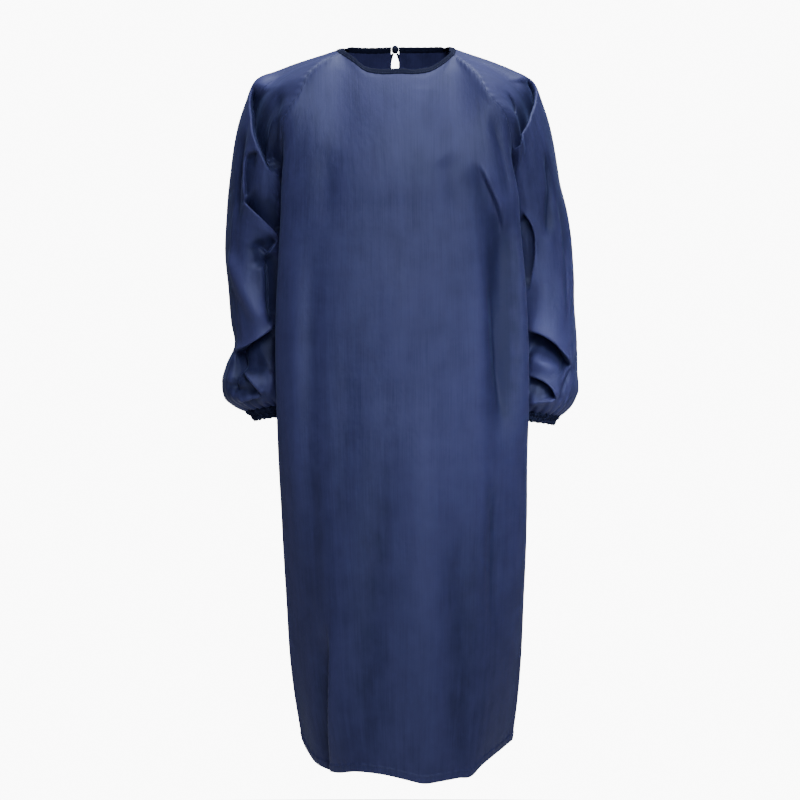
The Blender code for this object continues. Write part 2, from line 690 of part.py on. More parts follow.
def make_material(name, colour, roughness):
    material = bpy.data.materials.new(name)
    material.use_nodes = True
    shader = material.node_tree.nodes["Principled BSDF"]
    shader.inputs["Base Color"].default_value = (*colour, 1.0)
    shader.inputs["Roughness"].default_value = roughness
    shader.inputs["Metallic"].default_value = 0.0
    return material


def make_binding(grids, normals, material):
    """The strip on the neck edge, from one back edge round the front to the other."""
    first, last = raglan_steps, raglan_steps + neck_steps
    loop_count = raglan_steps + back_raglan_steps + shoulder_steps
    shoulder = np.arange(raglan_steps + back_raglan_steps, loop_count + 1) % loop_count
    back = np.arange(back_raglan_steps + half_back_steps, back_raglan_steps - 1, -1)
    route = [("back_left", j) for j in back]
    route += [("sleeve_left", j) for j in shoulder[1:]]
    route += [("front_panel", j) for j in range(first + 1, last + 1)]
    route += [("sleeve_right", j) for j in shoulder[::-1][1:]]
    route += [("back_right", j) for j in back[::-1][1:]]
    half = binding_thick / 2
    base = binding_clear * seam_gap / binding_height
    profile = ((base, half), (binding_shoulder, half), (1.0, half / 2),
               (1.0, -half / 2), (binding_shoulder, -half), (base, -half))
    profiles = []
    for name, j in route:
        edge = grids[name][0, j]
        out = normals[name][0, j]
        rise = unit(unit(edge - grids[name][1, j]) + np.array([0.0, 0.0, binding_upright]))
        rise = unit(rise - out * (rise @ out))
        profiles.append([edge + rise * up * binding_height + out * side for up, side in profile])
    make_strip("neck_binding", profiles, material, flip=True)
    return profiles


def make_tie(side, grid, normals, material):
    """A free end of the strip, which hangs over the back from under the knot."""
    sign = -1 if side == "left" else 1
    profiles = []
    for i in range(tie_rows + 1):
        spread = i / tie_rows
        near, far = grid[i, -1], grid[i, -2]
        out = unit(normals[i, -1] + normals[i, -2])
        if i == 0:
            middle = np.array([sign * tie_start, near[1], near[2] - knot_drop])
            wide = np.array([1.0, 0.0, 0.0]) * tie_start * tie_end
        else:
            middle = near + (far - near) * (tie_drift[0] + tie_drift[1] * spread)
            run = unit(grid[i + 1, -1] - grid[i - 1, -1] + (far - near) * tie_splay)
            wide = unit(np.cross(out, run)) * tie_width / 2
            wide = wide if wide[0] > 0 else -wide
        low = middle + out * (wall / 2 + seam_gap + tie_lift)
        high = low + out * tie_thick
        profiles.append([low - wide, low + wide, high + wide, high - wide])
    make_strip("neck_tie_" + side, profiles, material, flip=True)


def make_knot(ends, material):
    """A rounded lump that sits between the two ends of the binding."""
    centre = (np.mean(ends[0], axis=0) + np.mean(ends[-1], axis=0)) / 2 + np.array([0.0, knot_out, 0.0])
    profiles = []
    for lift in np.linspace(-knot_cap, knot_cap, knot_rings):
        turns = np.linspace(0.0, 2 * math.pi, knot_sides, endpoint=False)
        flat = math.cos(lift) * np.stack([np.cos(turns), np.sin(turns)], axis=1)
        ball = np.concatenate([flat, np.full((knot_sides, 1), math.sin(lift))], axis=1)
        profiles.append(centre + ball * np.array(knot_size) / 2)
    make_strip("neck_knot", profiles, material)


def build():
    clear_scene()
    cloth = make_material("coated_navy_cloth", cloth_colour, 0.50)
    trim = make_material("navy_binding", trim_colour, 0.70)

    grids = {"front_panel": front_grid()}
    facing = {"front_panel": 1}
    for side in ("left", "right"):
        turned = 1 if side == "left" else -1
        grids["back_" + side] = back_grid(side)
        facing["back_" + side] = -turned
        grids["sleeve_" + side] = sleeve_grid(side)
        facing["sleeve_" + side] = turned
        grids["cuff_" + side] = cuff_grid(side)
        facing["cuff_" + side] = turned
    tubes = [name for name in grids if name.startswith(("sleeve", "cuff"))]

    def all_normals():
        return {name: normals_of(points, name in tubes) * facing[name] for name, points in grids.items()}

    pairs = seams()
    normals = all_normals()
    for name, points in grids.items():
        out = normals[name]
        side = name.split("_")[1]
        forward = np.clip(-out[..., 1] * fold_reach, 0.0, 1.0)
        backward = np.clip(out[..., 1] * fold_reach, 0.0, 1.0)
        if name == "front_panel":
            points = lifted(points, out, front_folds, forward)
        if name.startswith("back"):
            points = lifted(points, out, back_folds, backward)
        if name.startswith("sleeve"):
            points = lifted(points, out, sleeve_folds[side], forward)
            points = lifted(points, out, sleeve_back_folds[side], backward)
            points = gathered(points, out)
        if name.startswith("cuff"):
            points = points + out * gather_swing(points.shape[1])[:, None]
        grids[name] = points
    join_edges(grids, pairs, join_ease)
    for name, points in grids.items():
        if not name.startswith("cuff"):
            grids[name] = eased(points, name in tubes)
    normals = all_normals()
    open_creases(grids, normals, pairs)
    join_edges(normals, pairs, 0)
    normals = {name: unit(out) for name, out in normals.items()}

    for name, points in parted(grids, pairs).items():
        make_wall(name, points, normals[name], name in tubes, cloth, facing[name] < 0)
    ends = make_binding(grids, normals, trim)
    make_knot(ends, trim)
    for side in ("left", "right"):
        make_tie(side, grids["back_" + side], normals["back_" + side], trim)


build()
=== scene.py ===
# The looks of a sleeved work apron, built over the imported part. Metres, +Z up, the front faces -Y.
# Left and right are the viewer's.
import math

import bpy
import numpy as np
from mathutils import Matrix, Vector


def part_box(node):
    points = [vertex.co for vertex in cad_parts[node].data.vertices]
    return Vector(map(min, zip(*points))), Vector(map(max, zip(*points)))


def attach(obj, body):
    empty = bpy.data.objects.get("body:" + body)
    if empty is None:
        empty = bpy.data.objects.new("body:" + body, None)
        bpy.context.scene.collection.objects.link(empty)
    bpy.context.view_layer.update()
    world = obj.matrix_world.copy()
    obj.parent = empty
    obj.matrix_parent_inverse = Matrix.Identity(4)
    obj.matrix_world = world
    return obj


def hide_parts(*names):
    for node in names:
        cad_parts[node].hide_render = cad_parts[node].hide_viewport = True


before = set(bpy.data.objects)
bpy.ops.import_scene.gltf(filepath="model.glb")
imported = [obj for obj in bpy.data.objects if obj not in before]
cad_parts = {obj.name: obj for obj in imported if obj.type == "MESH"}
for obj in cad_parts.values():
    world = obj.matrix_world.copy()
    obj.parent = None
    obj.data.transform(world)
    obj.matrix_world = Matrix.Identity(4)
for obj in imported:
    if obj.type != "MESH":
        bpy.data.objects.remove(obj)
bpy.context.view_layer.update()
print("frame loaded")


def metres(rows):
    # Rows of millimetres as metres. Only such rows and those of the folds and waves are millimetres.
    return tuple(tuple(value / 1000 for value in row) for row in rows)


# How finely each piece is divided
fineness = {
    "frontRaglan": 96,       # neck to underarm, front
    "backRaglan": 58,
    "neck": 60,              # front neck
    "shoulder": 30,          # neck edge of one sleeve
    "halfBack": 22,          # neck edge of one back
    "edge": 35,              # side seam forward to the widest edge
    "yoke": 56,              # neck down to the chest
    "skirt": 130,            # chest down to the hem
    "hem": 18,               # of those, the rows close to the hem
    "hemShare": 0.022,       # and the share of the skirt that they take
    "cap": 72,               # top of a sleeve
    "sleeve": 184,           # the rest of it
    "topCrowd": 1.25,        # above 1, rows lie closer together toward a piece's top edge
    "backCrowd": 1.5,        # the same for columns toward the back opening
}

# The body's form, as in the part's source. Turns run round it: 0 centre front, 2 the widest edge,
# 3 the side seam, 6 centre back, and the left side mirrors them below zero.
bodyForm = {
    "chestHeight": -0.250,
    "sideSeamDepth": -0.014,
    "edgeTurn": 2.0,
    "sideTurn": 3.0,
    "neckTurn": 0.80,
    "backNeckTurn": 5.20,
    "backEdgeTurn": 5.92,
    "frontQuarter": (0.58, 0.20),
    "backSide": 0.62,
    "backQuarter": (0.55, 0.93),
    "backOpening": 0.012,
    "yokeForward": -0.60,
    "yokeBackward": 0.55,
    "yokeFade": 1.5,
    "yokeInward": 0.22,
    "yokeFlat": 0.20,
}
sectionColumns = ("height", "left", "right", "front", "edge",
                  "sideLeft", "sideRight", "backLeft", "backRight", "back")
sectionRows = metres((
    (-250, -177, 194, -126, -78, -142, 148, -128, 134, 108),
    (-330, -181, 201.5, -131, -80, -138, 152, -130, 138, 110),
    (-415, -183.7, 204.6, -134, -80, -136, 156, -132, 142, 110),
    (-560, -182, 206, -136, -78, -136, 158, -134, 146, 112),
    (-640, -178.5, 202, -137, -66, -152, 176, -142, 158, 116),
    (-740, -170.5, 199.5, -138, -50, -162, 190, -146, 168, 120),
    (-860, -161.5, 195.5, -139, -40, -160, 190, -146, 168, 124),
    (-960, -155, 189.5, -141, -36, -155, 186, -142, 164, 126),
    (-1030, -146.5, 182, -143, -34, -146, 180, -135, 158, 128),
    (-1080, -137, 174.5, -145, -34, -138, 172, -128, 152, 129),
    (-1140, -126, 163, -146, -34, -128, 162, -120, 144, 130),
))
hemColumns = ("turn", "height")
hemRows = (
    (-6.0, -1.086), (-4.5, -1.084), (-3.0, -1.074), (-2.3, -1.076), (-2.0, -1.092), (-1.8, -1.106),
    (-1.3, -1.120), (-0.9, -1.117), (-0.4, -1.121), (0.0, -1.129), (0.3, -1.1345), (0.6, -1.131),
    (0.9, -1.127), (1.2, -1.123), (1.32, -1.112), (1.55, -1.098), (1.8, -1.087), (2.0, -1.079),
    (2.3, -1.073), (3.0, -1.072), (4.5, -1.082), (6.0, -1.086),
)

# Raglan seams from the neck to the underarm, and the neck edge, each row a point (x, y, z)
underarm = {"left": (-148, -6, -200), "right": (154, -6, -200)}  # ends both seams, in millimetres
frontRaglanRows = {
    "left": metres((
        (-86, -22, -8), (-116, -50, -24), (-132, -66, -40), (-149, -80, -76), (-164, -84, -99),
        (-172, -80, -113), (-174, -66, -144), (-169, -34, -179), underarm["left"],
    )),
    "right": metres((
        (91.5, -22, -11), (108.5, -44, -25), (129, -66, -46.5), (140, -80, -68), (151, -85, -83),
        (166, -85, -100), (175, -80, -120), (180, -66, -150), (174, -34, -180), underarm["right"],
    )),
}
backRaglanRows = {
    "left": metres((
        (-78, 42, -3), (-108, 70, -28), (-132, 86, -70), (-150, 84, -115), (-160, 66, -150),
        (-160, 32, -182), underarm["left"],
    )),
    "right": metres((
        (82, 42, -3), (112, 70, -28), (136, 86, -70), (155, 84, -115), (166, 66, -150),
        (166, 32, -182), underarm["right"],
    )),
}
neckRows = frontRaglanRows["left"][:1] + metres((
    (-64, -44, -24), (-45, -56, -38.5), (-23, -61, -43), (8, -62, -42.5),
    (28, -61, -43), (54, -55, -39), (74, -42, -27),
)) + frontRaglanRows["right"][:1]
shoulderMiddle = {"left": (-0.0900, 0.008, -0.0030), "right": (0.0930, 0.008, -0.0010)}
backNeckMiddle = {"left": (-0.045, 0.057, -0.004), "right": (0.048, 0.057, -0.003)}
backNeckEnd = (bodyForm["backOpening"] / 2, 0.062, -0.003)

# The sleeves' form. inside runs from 0 on the outer line to 1 at the underarm, and pairs give the
# value on the outer line and what is added by the underarm.
sleeveForm = {
    "neckHalfAngle": math.radians(35),
    "loopLean": 1.35,
    "out": (1.00, -0.45),
    "round": (0.10, 0.45),
    "fall": (-0.30, -0.70),
    "lean": 0.35,
    "fullness": (1.24, 0.32),
    "corner": (-0.11, 0.34),
    "widthWeight": 0.6,
    "evenRounds": 160,       # of evening the ways in which the cloth leaves the seam
}
sleeveColumns = ("height", "outer", "width", "depth", "middle", "tilt")
sleeveRows = {
    "left": metres((
        (-225, -255.5, 100, 146, 29, -70),
        (-275, -261.5, 104, 136, 30, -50),
        (-330, -265, 106, 128, 29, -30),
        (-380, -259.5, 101, 122, 27, -15),
        (-425, -255, 96, 116, 24, 0),
        (-460, -250.3, 90, 110, 21, 0),
        (-492, -263.5, 106, 122, 20, 0),
        (-522, -269.7, 116, 132, 20, 4),
        (-540, -264, 109, 122, 19, 10),
        (-551, -248, 92, 98, 18, 12),
        (-557, -233, 78, 78, 18, 12),
    )),
    "right": metres((
        (-225, 254.5, 98, 146, 30, -70),
        (-275, 264, 100, 136, 34, -50),
        (-330, 272.5, 102, 126, 34, -30),
        (-390, 279.5, 105, 122, 32, -10),
        (-450, 283.7, 106, 122, 29, 0),
        (-500, 284.5, 110, 126, 28, 0),
        (-530, 285, 114, 128, 28, 6),
        (-549, 275.5, 104, 116, 26, 10),
        (-559.5, 264, 92, 96, 24, 12),
        (-565, 256, 82, 80, 24, 12),
    )),
}
shoulderTips = {  # place, height and reach of the peak where the cloth turns down
    "left": ((-0.209, 0.008, -0.058), 0.009, (0.020, 0.045, 0.030)),
    "right": ((0.212, 0.010, -0.056), 0.006, (0.020, 0.045, 0.030)),
}
cuffEndRow = {
    "left": (-0.5735, -0.2165, 0.0700, 0.066, 0.018, 0.009),
    "right": (-0.5805, 0.2455, 0.0740, 0.068, 0.024, 0.009),
}

# Folds with a crest, and a valley on the left hand of whoever walks from start to end in the
# picture. Each place is (x, z) seen from the front; face is 1 on the front and -1 on the back.
# Places, heights and widths are millimetres; spread widens the fold toward its end; fade is the
# share of its length over which each end dies out.
foldColumns = ("face", "start", "middle", "end", "crest", "valley", "up", "edge", "down", "spread", "fade")
sleeveFolds = {
    "left": (
        (1, (-216.5, -62), (-223, -126), (-189, -205), 3, 24, 8, 6, 16, 1.6, 0.18),
        (1, (-213, -163), (-225, -164), (-234, -172), 3, 7, 10, 4, 15, 1, 0.2),
        (1, (-233, -168), (-234.5, -200), (-233.5, -238), 3, 6, 8, 5, 12, 1, 0.2),
        (1, (-236, -240), (-210, -266), (-181, -296), 6, 22, 10, 5, 14, 1.2, 0.12),
        (1, (-198, -323), (-190, -312), (-182, -300), 3, 10, 6, 5, 16, 1, 0.2),
        (1, (-186, -430), (-218, -453.5), (-248, -470), 7, 22, 16, 7, 22, 1, 0.12),
        (1, (-202, -540), (-221.7, -518.6), (-239.5, -497), 6, 6, 12, 6, 10, 1, 0.18),
        (1, (-205, -541), (-224, -546), (-243, -550), 4, 6, 8, 4, 8, 1, 0.25),
        (-1, (-236, -452), (-210, -446), (-190, -420), 5, 12, 14, 8, 14, 1.1, 0.2),
        (-1, (-185, -180), (-216, -128), (-212, -72), 4, 10, 10, 7, 14, 1, 0.2),
        (-1, (-190, -268), (-220, -236), (-243, -200), 4, 7, 12, 7, 14, 1.2, 0.2),
    ),
    "right": (
        (1, (183, -166), (215, -98), (208.5, -42), 0, 26, 14, 4, 15, 1, 0.16),
        (1, (188.5, -114), (188, -91.5), (174, -68), 1, 4, 8, 5, 8, 1, 0.3),
        (1, (207.7, -380), (218.6, -299), (197, -256), 3, 18, 10, 5, 14, 1, 0.12),
        (1, (275.1, -492.3), (245, -453.4), (204.6, -435.6), 6, 31, 20, 8, 21, 1.5, 0.12),
        (1, (249.6, -545.6), (238, -522), (206, -508), 5, 20, 12, 5, 13, 1.2, 0.12),
        (-1, (190, -430), (224, -452), (262, -486), 6, 14, 16, 9, 14, 1.1, 0.2),
        (-1, (186, -170), (214, -116), (206, -62), 4, 12, 12, 6, 12, 1, 0.2),
        (-1, (198, -300), (226, -262), (246, -214), 4, 8, 12, 7, 14, 1, 0.2),
    ),
}
frontFolds = (
    (1, (179.8, -288.3), (156, -234), (128.7, -176.7), 4, 8, 12, 12, 30, 0.8, 0.3),
    (1, (-98.5, -1160), (-99.2, -1020), (-98.5, -880), 4, 12, 20, 10, 24, 1, 0.35),
)
backFolds = {
    "left": (
        (-1, (-128, -262), (-100, -210), (-82, -140), 4, 6, 16, 10, 18, 0.8, 0.25),
    ),
    "right": (
        (-1, (134, -300), (112, -240), (96, -160), 4, 7, 16, 10, 18, 0.8, 0.25),
    ),
}

# Soft ridges, and troughs with a height below zero
waveColumns = ("face", "start", "middle", "end", "height", "width", "spread", "fade")
sleeveWaves = {
    "left": (
        (1, (-235, -126), (-242.5, -190), (-244.5, -284), -6, 9, 1, 0.25),
        (1, (-181, -66), (-183, -115), (-180, -190), -5, 11, 1, 0.25),
        (1, (-255.5, -309), (-231.6, -382), (-194, -429), 9, 14, 1, 0.2),
        (1, (-193, -318), (-190, -370), (-189, -432), -18, 10, 1, 0.2),
        (1, (-216, -296), (-208, -320), (-202, -344), -12, 12, 1.2, 0.3),
        (1, (-243, -472), (-248, -508), (-256, -536), -8, 9, 1, 0.25),
        (1, (-197, -497), (-192, -521), (-201, -540), 4, 6, 1, 0.25),
        (1, (-256, -484), (-228, -492), (-196, -486), -12, 14, 1, 0.25),
        (1, (-262, -520), (-240, -534), (-212, -530), -8, 8, 1, 0.25),
        (-1, (-246, -470), (-246, -500), (-236, -540), -6, 9, 1.2, 0.25),
        (-1, (-220, -480), (-216, -510), (-214, -545), 5, 8, 1.2, 0.25),
        (-1, (-246, -300), (-234, -360), (-216, -410), 6, 13, 1, 0.25),
        (-1, (-196, -300), (-194, -350), (-190, -400), -6, 10, 1, 0.25),
    ),
    "right": (
        (1, (232.5, -160), (240.3, -225), (235, -310), -7, 7, 1.2, 0.25),
        (1, (275.9, -496), (263.5, -522.4), (257.3, -548.7), -4, 4, 1, 0.2),
        (1, (207.7, -556.5), (228, -545.6), (249.6, -548.7), 5, 7, 1, 0.25),
        (1, (262, -200), (270, -300), (276, -420), 4, 14, 1, 0.3),
        (1, (205, -478), (232, -492), (262, -506), 12, 12, 1, 0.25),
        (-1, (222, -500), (224, -525), (226, -556), -6, 8, 1.2, 0.25),
        (-1, (250, -500), (246, -525), (238, -556), 5, 9, 1, 0.25),
        (-1, (256, -250), (254, -330), (240, -410), 6, 14, 1, 0.25),
        (-1, (226, -310), (222, -360), (214, -420), -6, 10, 1, 0.25),
    ),
}
frontWaves = (
    (1, (143.5, -99), (165, -166), (176.7, -245), -6, 10, 1, 0.3),
    (1, (164, -240), (168, -400), (164, -660), -20, 26, 1, 0.3),
    (1, (146, -320), (158, -460), (173, -610), -6, 8, 1, 0.35),
    (1, (-103, -150), (-106, -205), (-108, -290), -4, 22, 1, 0.4),
    (1, (75, -170), (90, -205), (105, -290), -4, 20, 1, 0.4),
    (1, (146, -330), (132, -560), (124, -900), 3, 20, 1, 0.3),
    (1, (154, -660), (152, -780), (150, -930), -7, 14, 1, 0.3),
    (1, (-150, -250), (-152, -500), (-150, -800), 5, 20, 1, 0.3),
    (1, (-128, -300), (-130, -560), (-124, -860), -4, 16, 1, 0.3),
    (1, (-20, -560), (-34, -850), (-45, -1160), -6, 30, 1, 0.3),
    (1, (40, -500), (45, -830), (45, -1160), 6, 34, 1, 0.3),
    (1, (100, -700), (104, -930), (104, -1160), -7, 26, 1, 0.3),
    (1, (0, -330), (4, -430), (-6, -560), 3, 26, 1, 0.35),
    (1, (-70, -420), (-74, -600), (-80, -840), -4, 22, 1, 0.35),
)
backWaves = {
    "left": (
        (-1, (-85, -200), (-76, -540), (-70, -900), -9, 22, 1, 0.25),
        (-1, (-50, -450), (-44, -800), (-40, -1160), 8, 24, 1, 0.25),
        (-1, (-112, -620), (-108, -880), (-105, -1160), 8, 20, 1, 0.25),
        (-1, (-30, -60), (-32, -160), (-28, -300), -3, 14, 1, 0.35),
        (-1, (-20, -700), (-18, -900), (-16, -1130), -5, 12, 1, 0.3),
    ),
    "right": (
        (-1, (90, -220), (82, -600), (78, -1000), -9, 22, 1, 0.25),
        (-1, (46, -500), (50, -830), (50, -1160), 8, 24, 1, 0.25),
        (-1, (124, -640), (122, -900), (120, -1160), 8, 20, 1, 0.25),
        (-1, (34, -70), (36, -170), (30, -320), -3, 14, 1, 0.35),
        (-1, (20, -620), (20, -860), (18, -1120), -4, 12, 1, 0.3),
    ),
}

# The cloth and what is worked into it, all in metres
cloth = {
    "thick": 0.0012,
    "seamFade": 0.014,       # folds die out this close to a seam
    "sleeveFade": 0.008,     # the same at the top of a sleeve, and at its end
    "sleeveEndFade": 0.002,
    "sideFade": 0.020,
    "hemBand": 0.012,        # turned hem, and how proud it stands
    "hemRise": 0.0008,
    "edgeBand": 0.010,       # turned edges of the back opening
    "turnStep": 0.0012,      # width of the step beside a turned edge
    "tucks": (0.0005, 0.006, 420, 2, 37),  # by the hem: height, reach, turns, drift and its turns
    "smoothRounds": 1,
    "normalRounds": 3,       # of sharing the normals along the seams
    "sharpSeam": 0.6,        # cosine below which a seam's normals turn along the fold
}
gathers = {
    "count": 26,
    "depth": 0.0019,
    "drift": ((1.2, 2, 0.6), (0.8, 5, 2.1)),  # how their places wander: size, turns, start
    "swing": (0.75, 0.25, 3, 1.0),  # how their heights vary: mean, size, turns, start
    "reach": (0.034, 0.020),        # how far they run up the sleeve: mean, and swing
    "sway": (4, 0.5, 1.0),          # turns of that swing, and where it starts
    "fall": 1.3,                    # power with which they die out
    "rows": 18,
    "puff": (0.0016, 1.4),          # how far the cuff swells between its stitches, and the power
    "fine": (0.35, 2.0, 1.7, 3),    # smaller ones on the cuff: size, turns, drift and its turns
    "fineFrom": 0.15,               # share of the cuff over which they come in
    "calm": 0.35,                   # how much the elastic flattens them halfway down
    "frill": (0.5, 0.8, 0.2),       # how much they grow at the mouth, from where, over what share
}


def column(rows, names, name):
    return np.array([row[names.index(name)] for row in rows])


def smooth(share):
    share = np.clip(share, 0.0, 1.0)
    return share * share * (3 - 2 * share)


def unit(vectors):
    return vectors / np.maximum(np.linalg.norm(vectors, axis=-1, keepdims=True), 1e-12)


def even(steps):
    return np.linspace(0.0, 1.0, steps + 1)


def circle(steps):
    return np.linspace(0.0, 2 * math.pi, steps, endpoint=False)


def stepSizes(points, axis=0):
    return np.linalg.norm(np.diff(points, axis=axis), axis=-1)


def fromZero(steps):
    return np.concatenate(([0.0], np.cumsum(steps)))


def runLengths(lines):
    # How far along each line its points are.
    return np.concatenate([np.zeros((len(lines), 1)), np.cumsum(stepSizes(lines, 1), axis=1)], axis=1)


def depthBelow(points):
    # How far each point of a grid is from the top edge, down its own column.
    return runLengths(points.transpose(1, 0, 2)).T


def heightAbove(points):
    return depthBelow(points[::-1])[::-1]


def between(knots, values, at):
    # Smooth curve through values at rising knots.
    slopes = np.gradient(values, knots, axis=0)
    k = np.clip(np.searchsorted(knots, at, side="right") - 1, 0, len(knots) - 2)
    span = knots[k + 1] - knots[k]
    t = np.clip((at - knots[k]) / span, 0.0, 1.0)
    shape = t.shape + (1,) * (np.ndim(values) - 1)
    t, span = t.reshape(shape), span.reshape(shape)
    rise = smooth(t)
    return (values[k] * (1 - rise) + values[k + 1] * rise
            + span * (t * (1 - t) ** 2 * slopes[k] - t * t * (1 - t) * slopes[k + 1]))


def along(points, stations):
    # Points on a smooth curve through the given ones, at shares of its length.
    points = np.array(points, dtype=float)
    knots = fromZero(stepSizes(points))
    return between(knots, points, np.asarray(stations) * knots[-1])


def hermite(start, leave, end, arrive, t):
    t = t[:, None, None]
    a = 2 * t ** 3 - 3 * t ** 2 + 1
    b = t ** 3 - 2 * t ** 2 + t
    c = -2 * t ** 3 + 3 * t ** 2
    d = t ** 3 - t ** 2
    return a * start + b * leave + c * end + d * arrive


def bodySection(height):
    # The body's twelve guide points at each height, from centre front round by the right.
    knots = -column(sectionRows, sectionColumns, "height")
    table = {name: between(knots, column(sectionRows, sectionColumns, name), -height)
             for name in sectionColumns}
    centre = (table["left"] + table["right"]) / 2
    backCentre = (table["backLeft"] + table["backRight"]) / 2
    sideDepth = 0 * height + bodyForm["sideSeamDepth"]
    across, deep = bodyForm["frontQuarter"]
    backAcross, backDeep = bodyForm["backQuarter"]

    def half(edge, side, back):
        return (
            (centre + across * (edge - centre), table["front"] + deep * (table["edge"] - table["front"])),
            (edge, table["edge"]),
            (side, sideDepth),
            (back, bodyForm["backSide"] * table["back"]),
            (backCentre + backAcross * (back - backCentre), backDeep * table["back"]),
        )

    right = half(table["right"], table["sideRight"], table["backRight"])
    left = half(table["left"], table["sideLeft"], table["backLeft"])
    guide = ((centre, table["front"]),) + right + ((backCentre, table["back"]),) + left[::-1]
    return np.stack([np.stack([x, y, height], axis=-1) for x, y in guide], axis=-2)


def bodyPoint(turn, height):
    # A point on the body at a turn of -6 to 6 and a height; both are arrays of one shape.
    guide = bodySection(height)
    count = guide.shape[-2]
    place = np.mod(turn, count)
    k = np.floor(place).astype(int)
    t = (place - k)[..., None]

    def pick(offset):
        index = np.broadcast_to(((k + offset) % count)[..., None, None], guide.shape[:-2] + (1, 3))
        return np.take_along_axis(guide, index, axis=-2)[..., 0, :]

    p0, p1, p2, p3 = pick(-1), pick(0), pick(1), pick(2)
    return 0.5 * (2 * p1 + (p2 - p0) * t + (2 * p0 - 5 * p1 + 4 * p2 - p3) * t ** 2
                  + (3 * p1 - p0 - 3 * p2 + p3) * t ** 3)


def panelGrid(top, turns, slopes):
    # Rows of points from a top edge over the chest down to the hem, closer by the seam and the hem.
    chest = bodyPoint(turns, np.full(turns.shape, bodyForm["chestHeight"]))
    reach = np.linalg.norm(chest - top, axis=1, keepdims=True)
    plumb = np.array([0.0, 0.0, -1.0])
    shares = even(fineness["yoke"]) ** fineness["topCrowd"]
    yoke = hermite(top, unit(slopes) * reach, chest, plumb * reach, shares)
    hem = between(column(hemRows, hemColumns, "turn"), column(hemRows, hemColumns, "height"), turns)
    hemSteps, hemShare = fineness["hem"], fineness["hemShare"]
    fall = np.concatenate([even(fineness["skirt"] - hemSteps)[1:] * (1 - hemShare),
                           1 - hemShare + hemShare * even(hemSteps)[1:]])[:, None]
    heights = bodyForm["chestHeight"] + (hem - bodyForm["chestHeight"]) * fall
    skirt = bodyPoint(np.broadcast_to(turns, heights.shape), heights)
    return np.concatenate([yoke, skirt])


def raglanSlopes(steps, forward, sign):
    reach = even(steps)
    inward = -sign * bodyForm["yokeInward"] * reach ** 2
    depth = forward * (1 - reach) ** bodyForm["yokeFade"]
    return np.stack([inward, depth, bodyForm["yokeFlat"] * (1 - reach) - 1], axis=1)


def frontGrid():
    steps, edge, neckSteps = fineness["frontRaglan"], fineness["edge"], fineness["neck"]
    left = along(frontRaglanRows["left"], even(steps))[::-1]
    neck = along(neckRows, even(neckSteps))
    right = along(frontRaglanRows["right"], even(steps))
    top = np.concatenate([left[:-1], neck, right[1:]])
    side = np.concatenate([np.linspace(bodyForm["sideTurn"], bodyForm["edgeTurn"], edge + 1)[:-1],
                           np.linspace(bodyForm["edgeTurn"], bodyForm["neckTurn"], steps + 1 - edge)])
    middle = np.linspace(-bodyForm["neckTurn"], bodyForm["neckTurn"], neckSteps + 1)
    turns = np.concatenate([-side[:-1], middle, side[::-1][1:]])
    seamLeft = raglanSlopes(steps, bodyForm["yokeForward"], -1)
    seamRight = raglanSlopes(steps, bodyForm["yokeForward"], 1)
    neckSlopes = np.repeat(seamLeft[:1], neckSteps + 1, axis=0)
    return panelGrid(top, turns, np.concatenate([seamLeft[::-1][:-1], neckSlopes, seamRight[1:]]))


def backGrid(side):
    sign = -1 if side == "left" else 1
    steps, half = fineness["backRaglan"], fineness["halfBack"]
    stations = 1 - (1 - even(half)) ** fineness["backCrowd"]
    neckEnd = (sign * backNeckEnd[0],) + backNeckEnd[1:]
    raglan = along(backRaglanRows[side], even(steps))[::-1]
    neck = along((backRaglanRows[side][0], backNeckMiddle[side], neckEnd), stations)
    top = np.concatenate([raglan[:-1], neck])
    outer = np.linspace(bodyForm["sideTurn"], bodyForm["backNeckTurn"], steps + 1)
    inner = bodyForm["backNeckTurn"] + (bodyForm["backEdgeTurn"] - bodyForm["backNeckTurn"]) * stations
    turns = sign * np.concatenate([outer[:-1], inner])
    seam = raglanSlopes(steps, bodyForm["yokeBackward"], sign)
    return panelGrid(top, turns, np.concatenate([seam[::-1][:-1], np.repeat(seam[:1], half + 1, axis=0)]))


def ringRow(values, angles, sign):
    # One sleeve section; angle 0 is the outer line, a quarter turn the front.
    height, outer, width, depth, middle, tilt = values
    cos, sin = np.cos(angles), np.sin(angles)
    across = outer - sign * width / 2 + sign * width / 2 * cos
    return np.stack([across, middle - depth / 2 * sin, height - tilt / 2 * cos], axis=-1)


def sleeveLoop(side):
    # The raglan loop from the front neck down to the underarm, up the back and over the neck.
    front = along(frontRaglanRows[side], even(fineness["frontRaglan"]))
    back = along(backRaglanRows[side], even(fineness["backRaglan"]))[::-1]
    neckEnds = (backRaglanRows[side][0], shoulderMiddle[side], frontRaglanRows[side][0])
    neck = along(neckEnds, even(fineness["shoulder"]))
    return np.concatenate([front[:-1], back[:-1], neck[:-1]])


def sleeveAngles():
    start = sleeveForm["neckHalfAngle"]
    rest = math.pi - start
    front = start + rest * even(fineness["frontRaglan"]) ** sleeveForm["loopLean"]
    back = math.pi + rest - rest * even(fineness["backRaglan"])[::-1] ** sleeveForm["loopLean"]
    neck = np.linspace(-start, start, fineness["shoulder"] + 1)
    return np.concatenate([front[:-1], back[:-1], neck[:-1]])


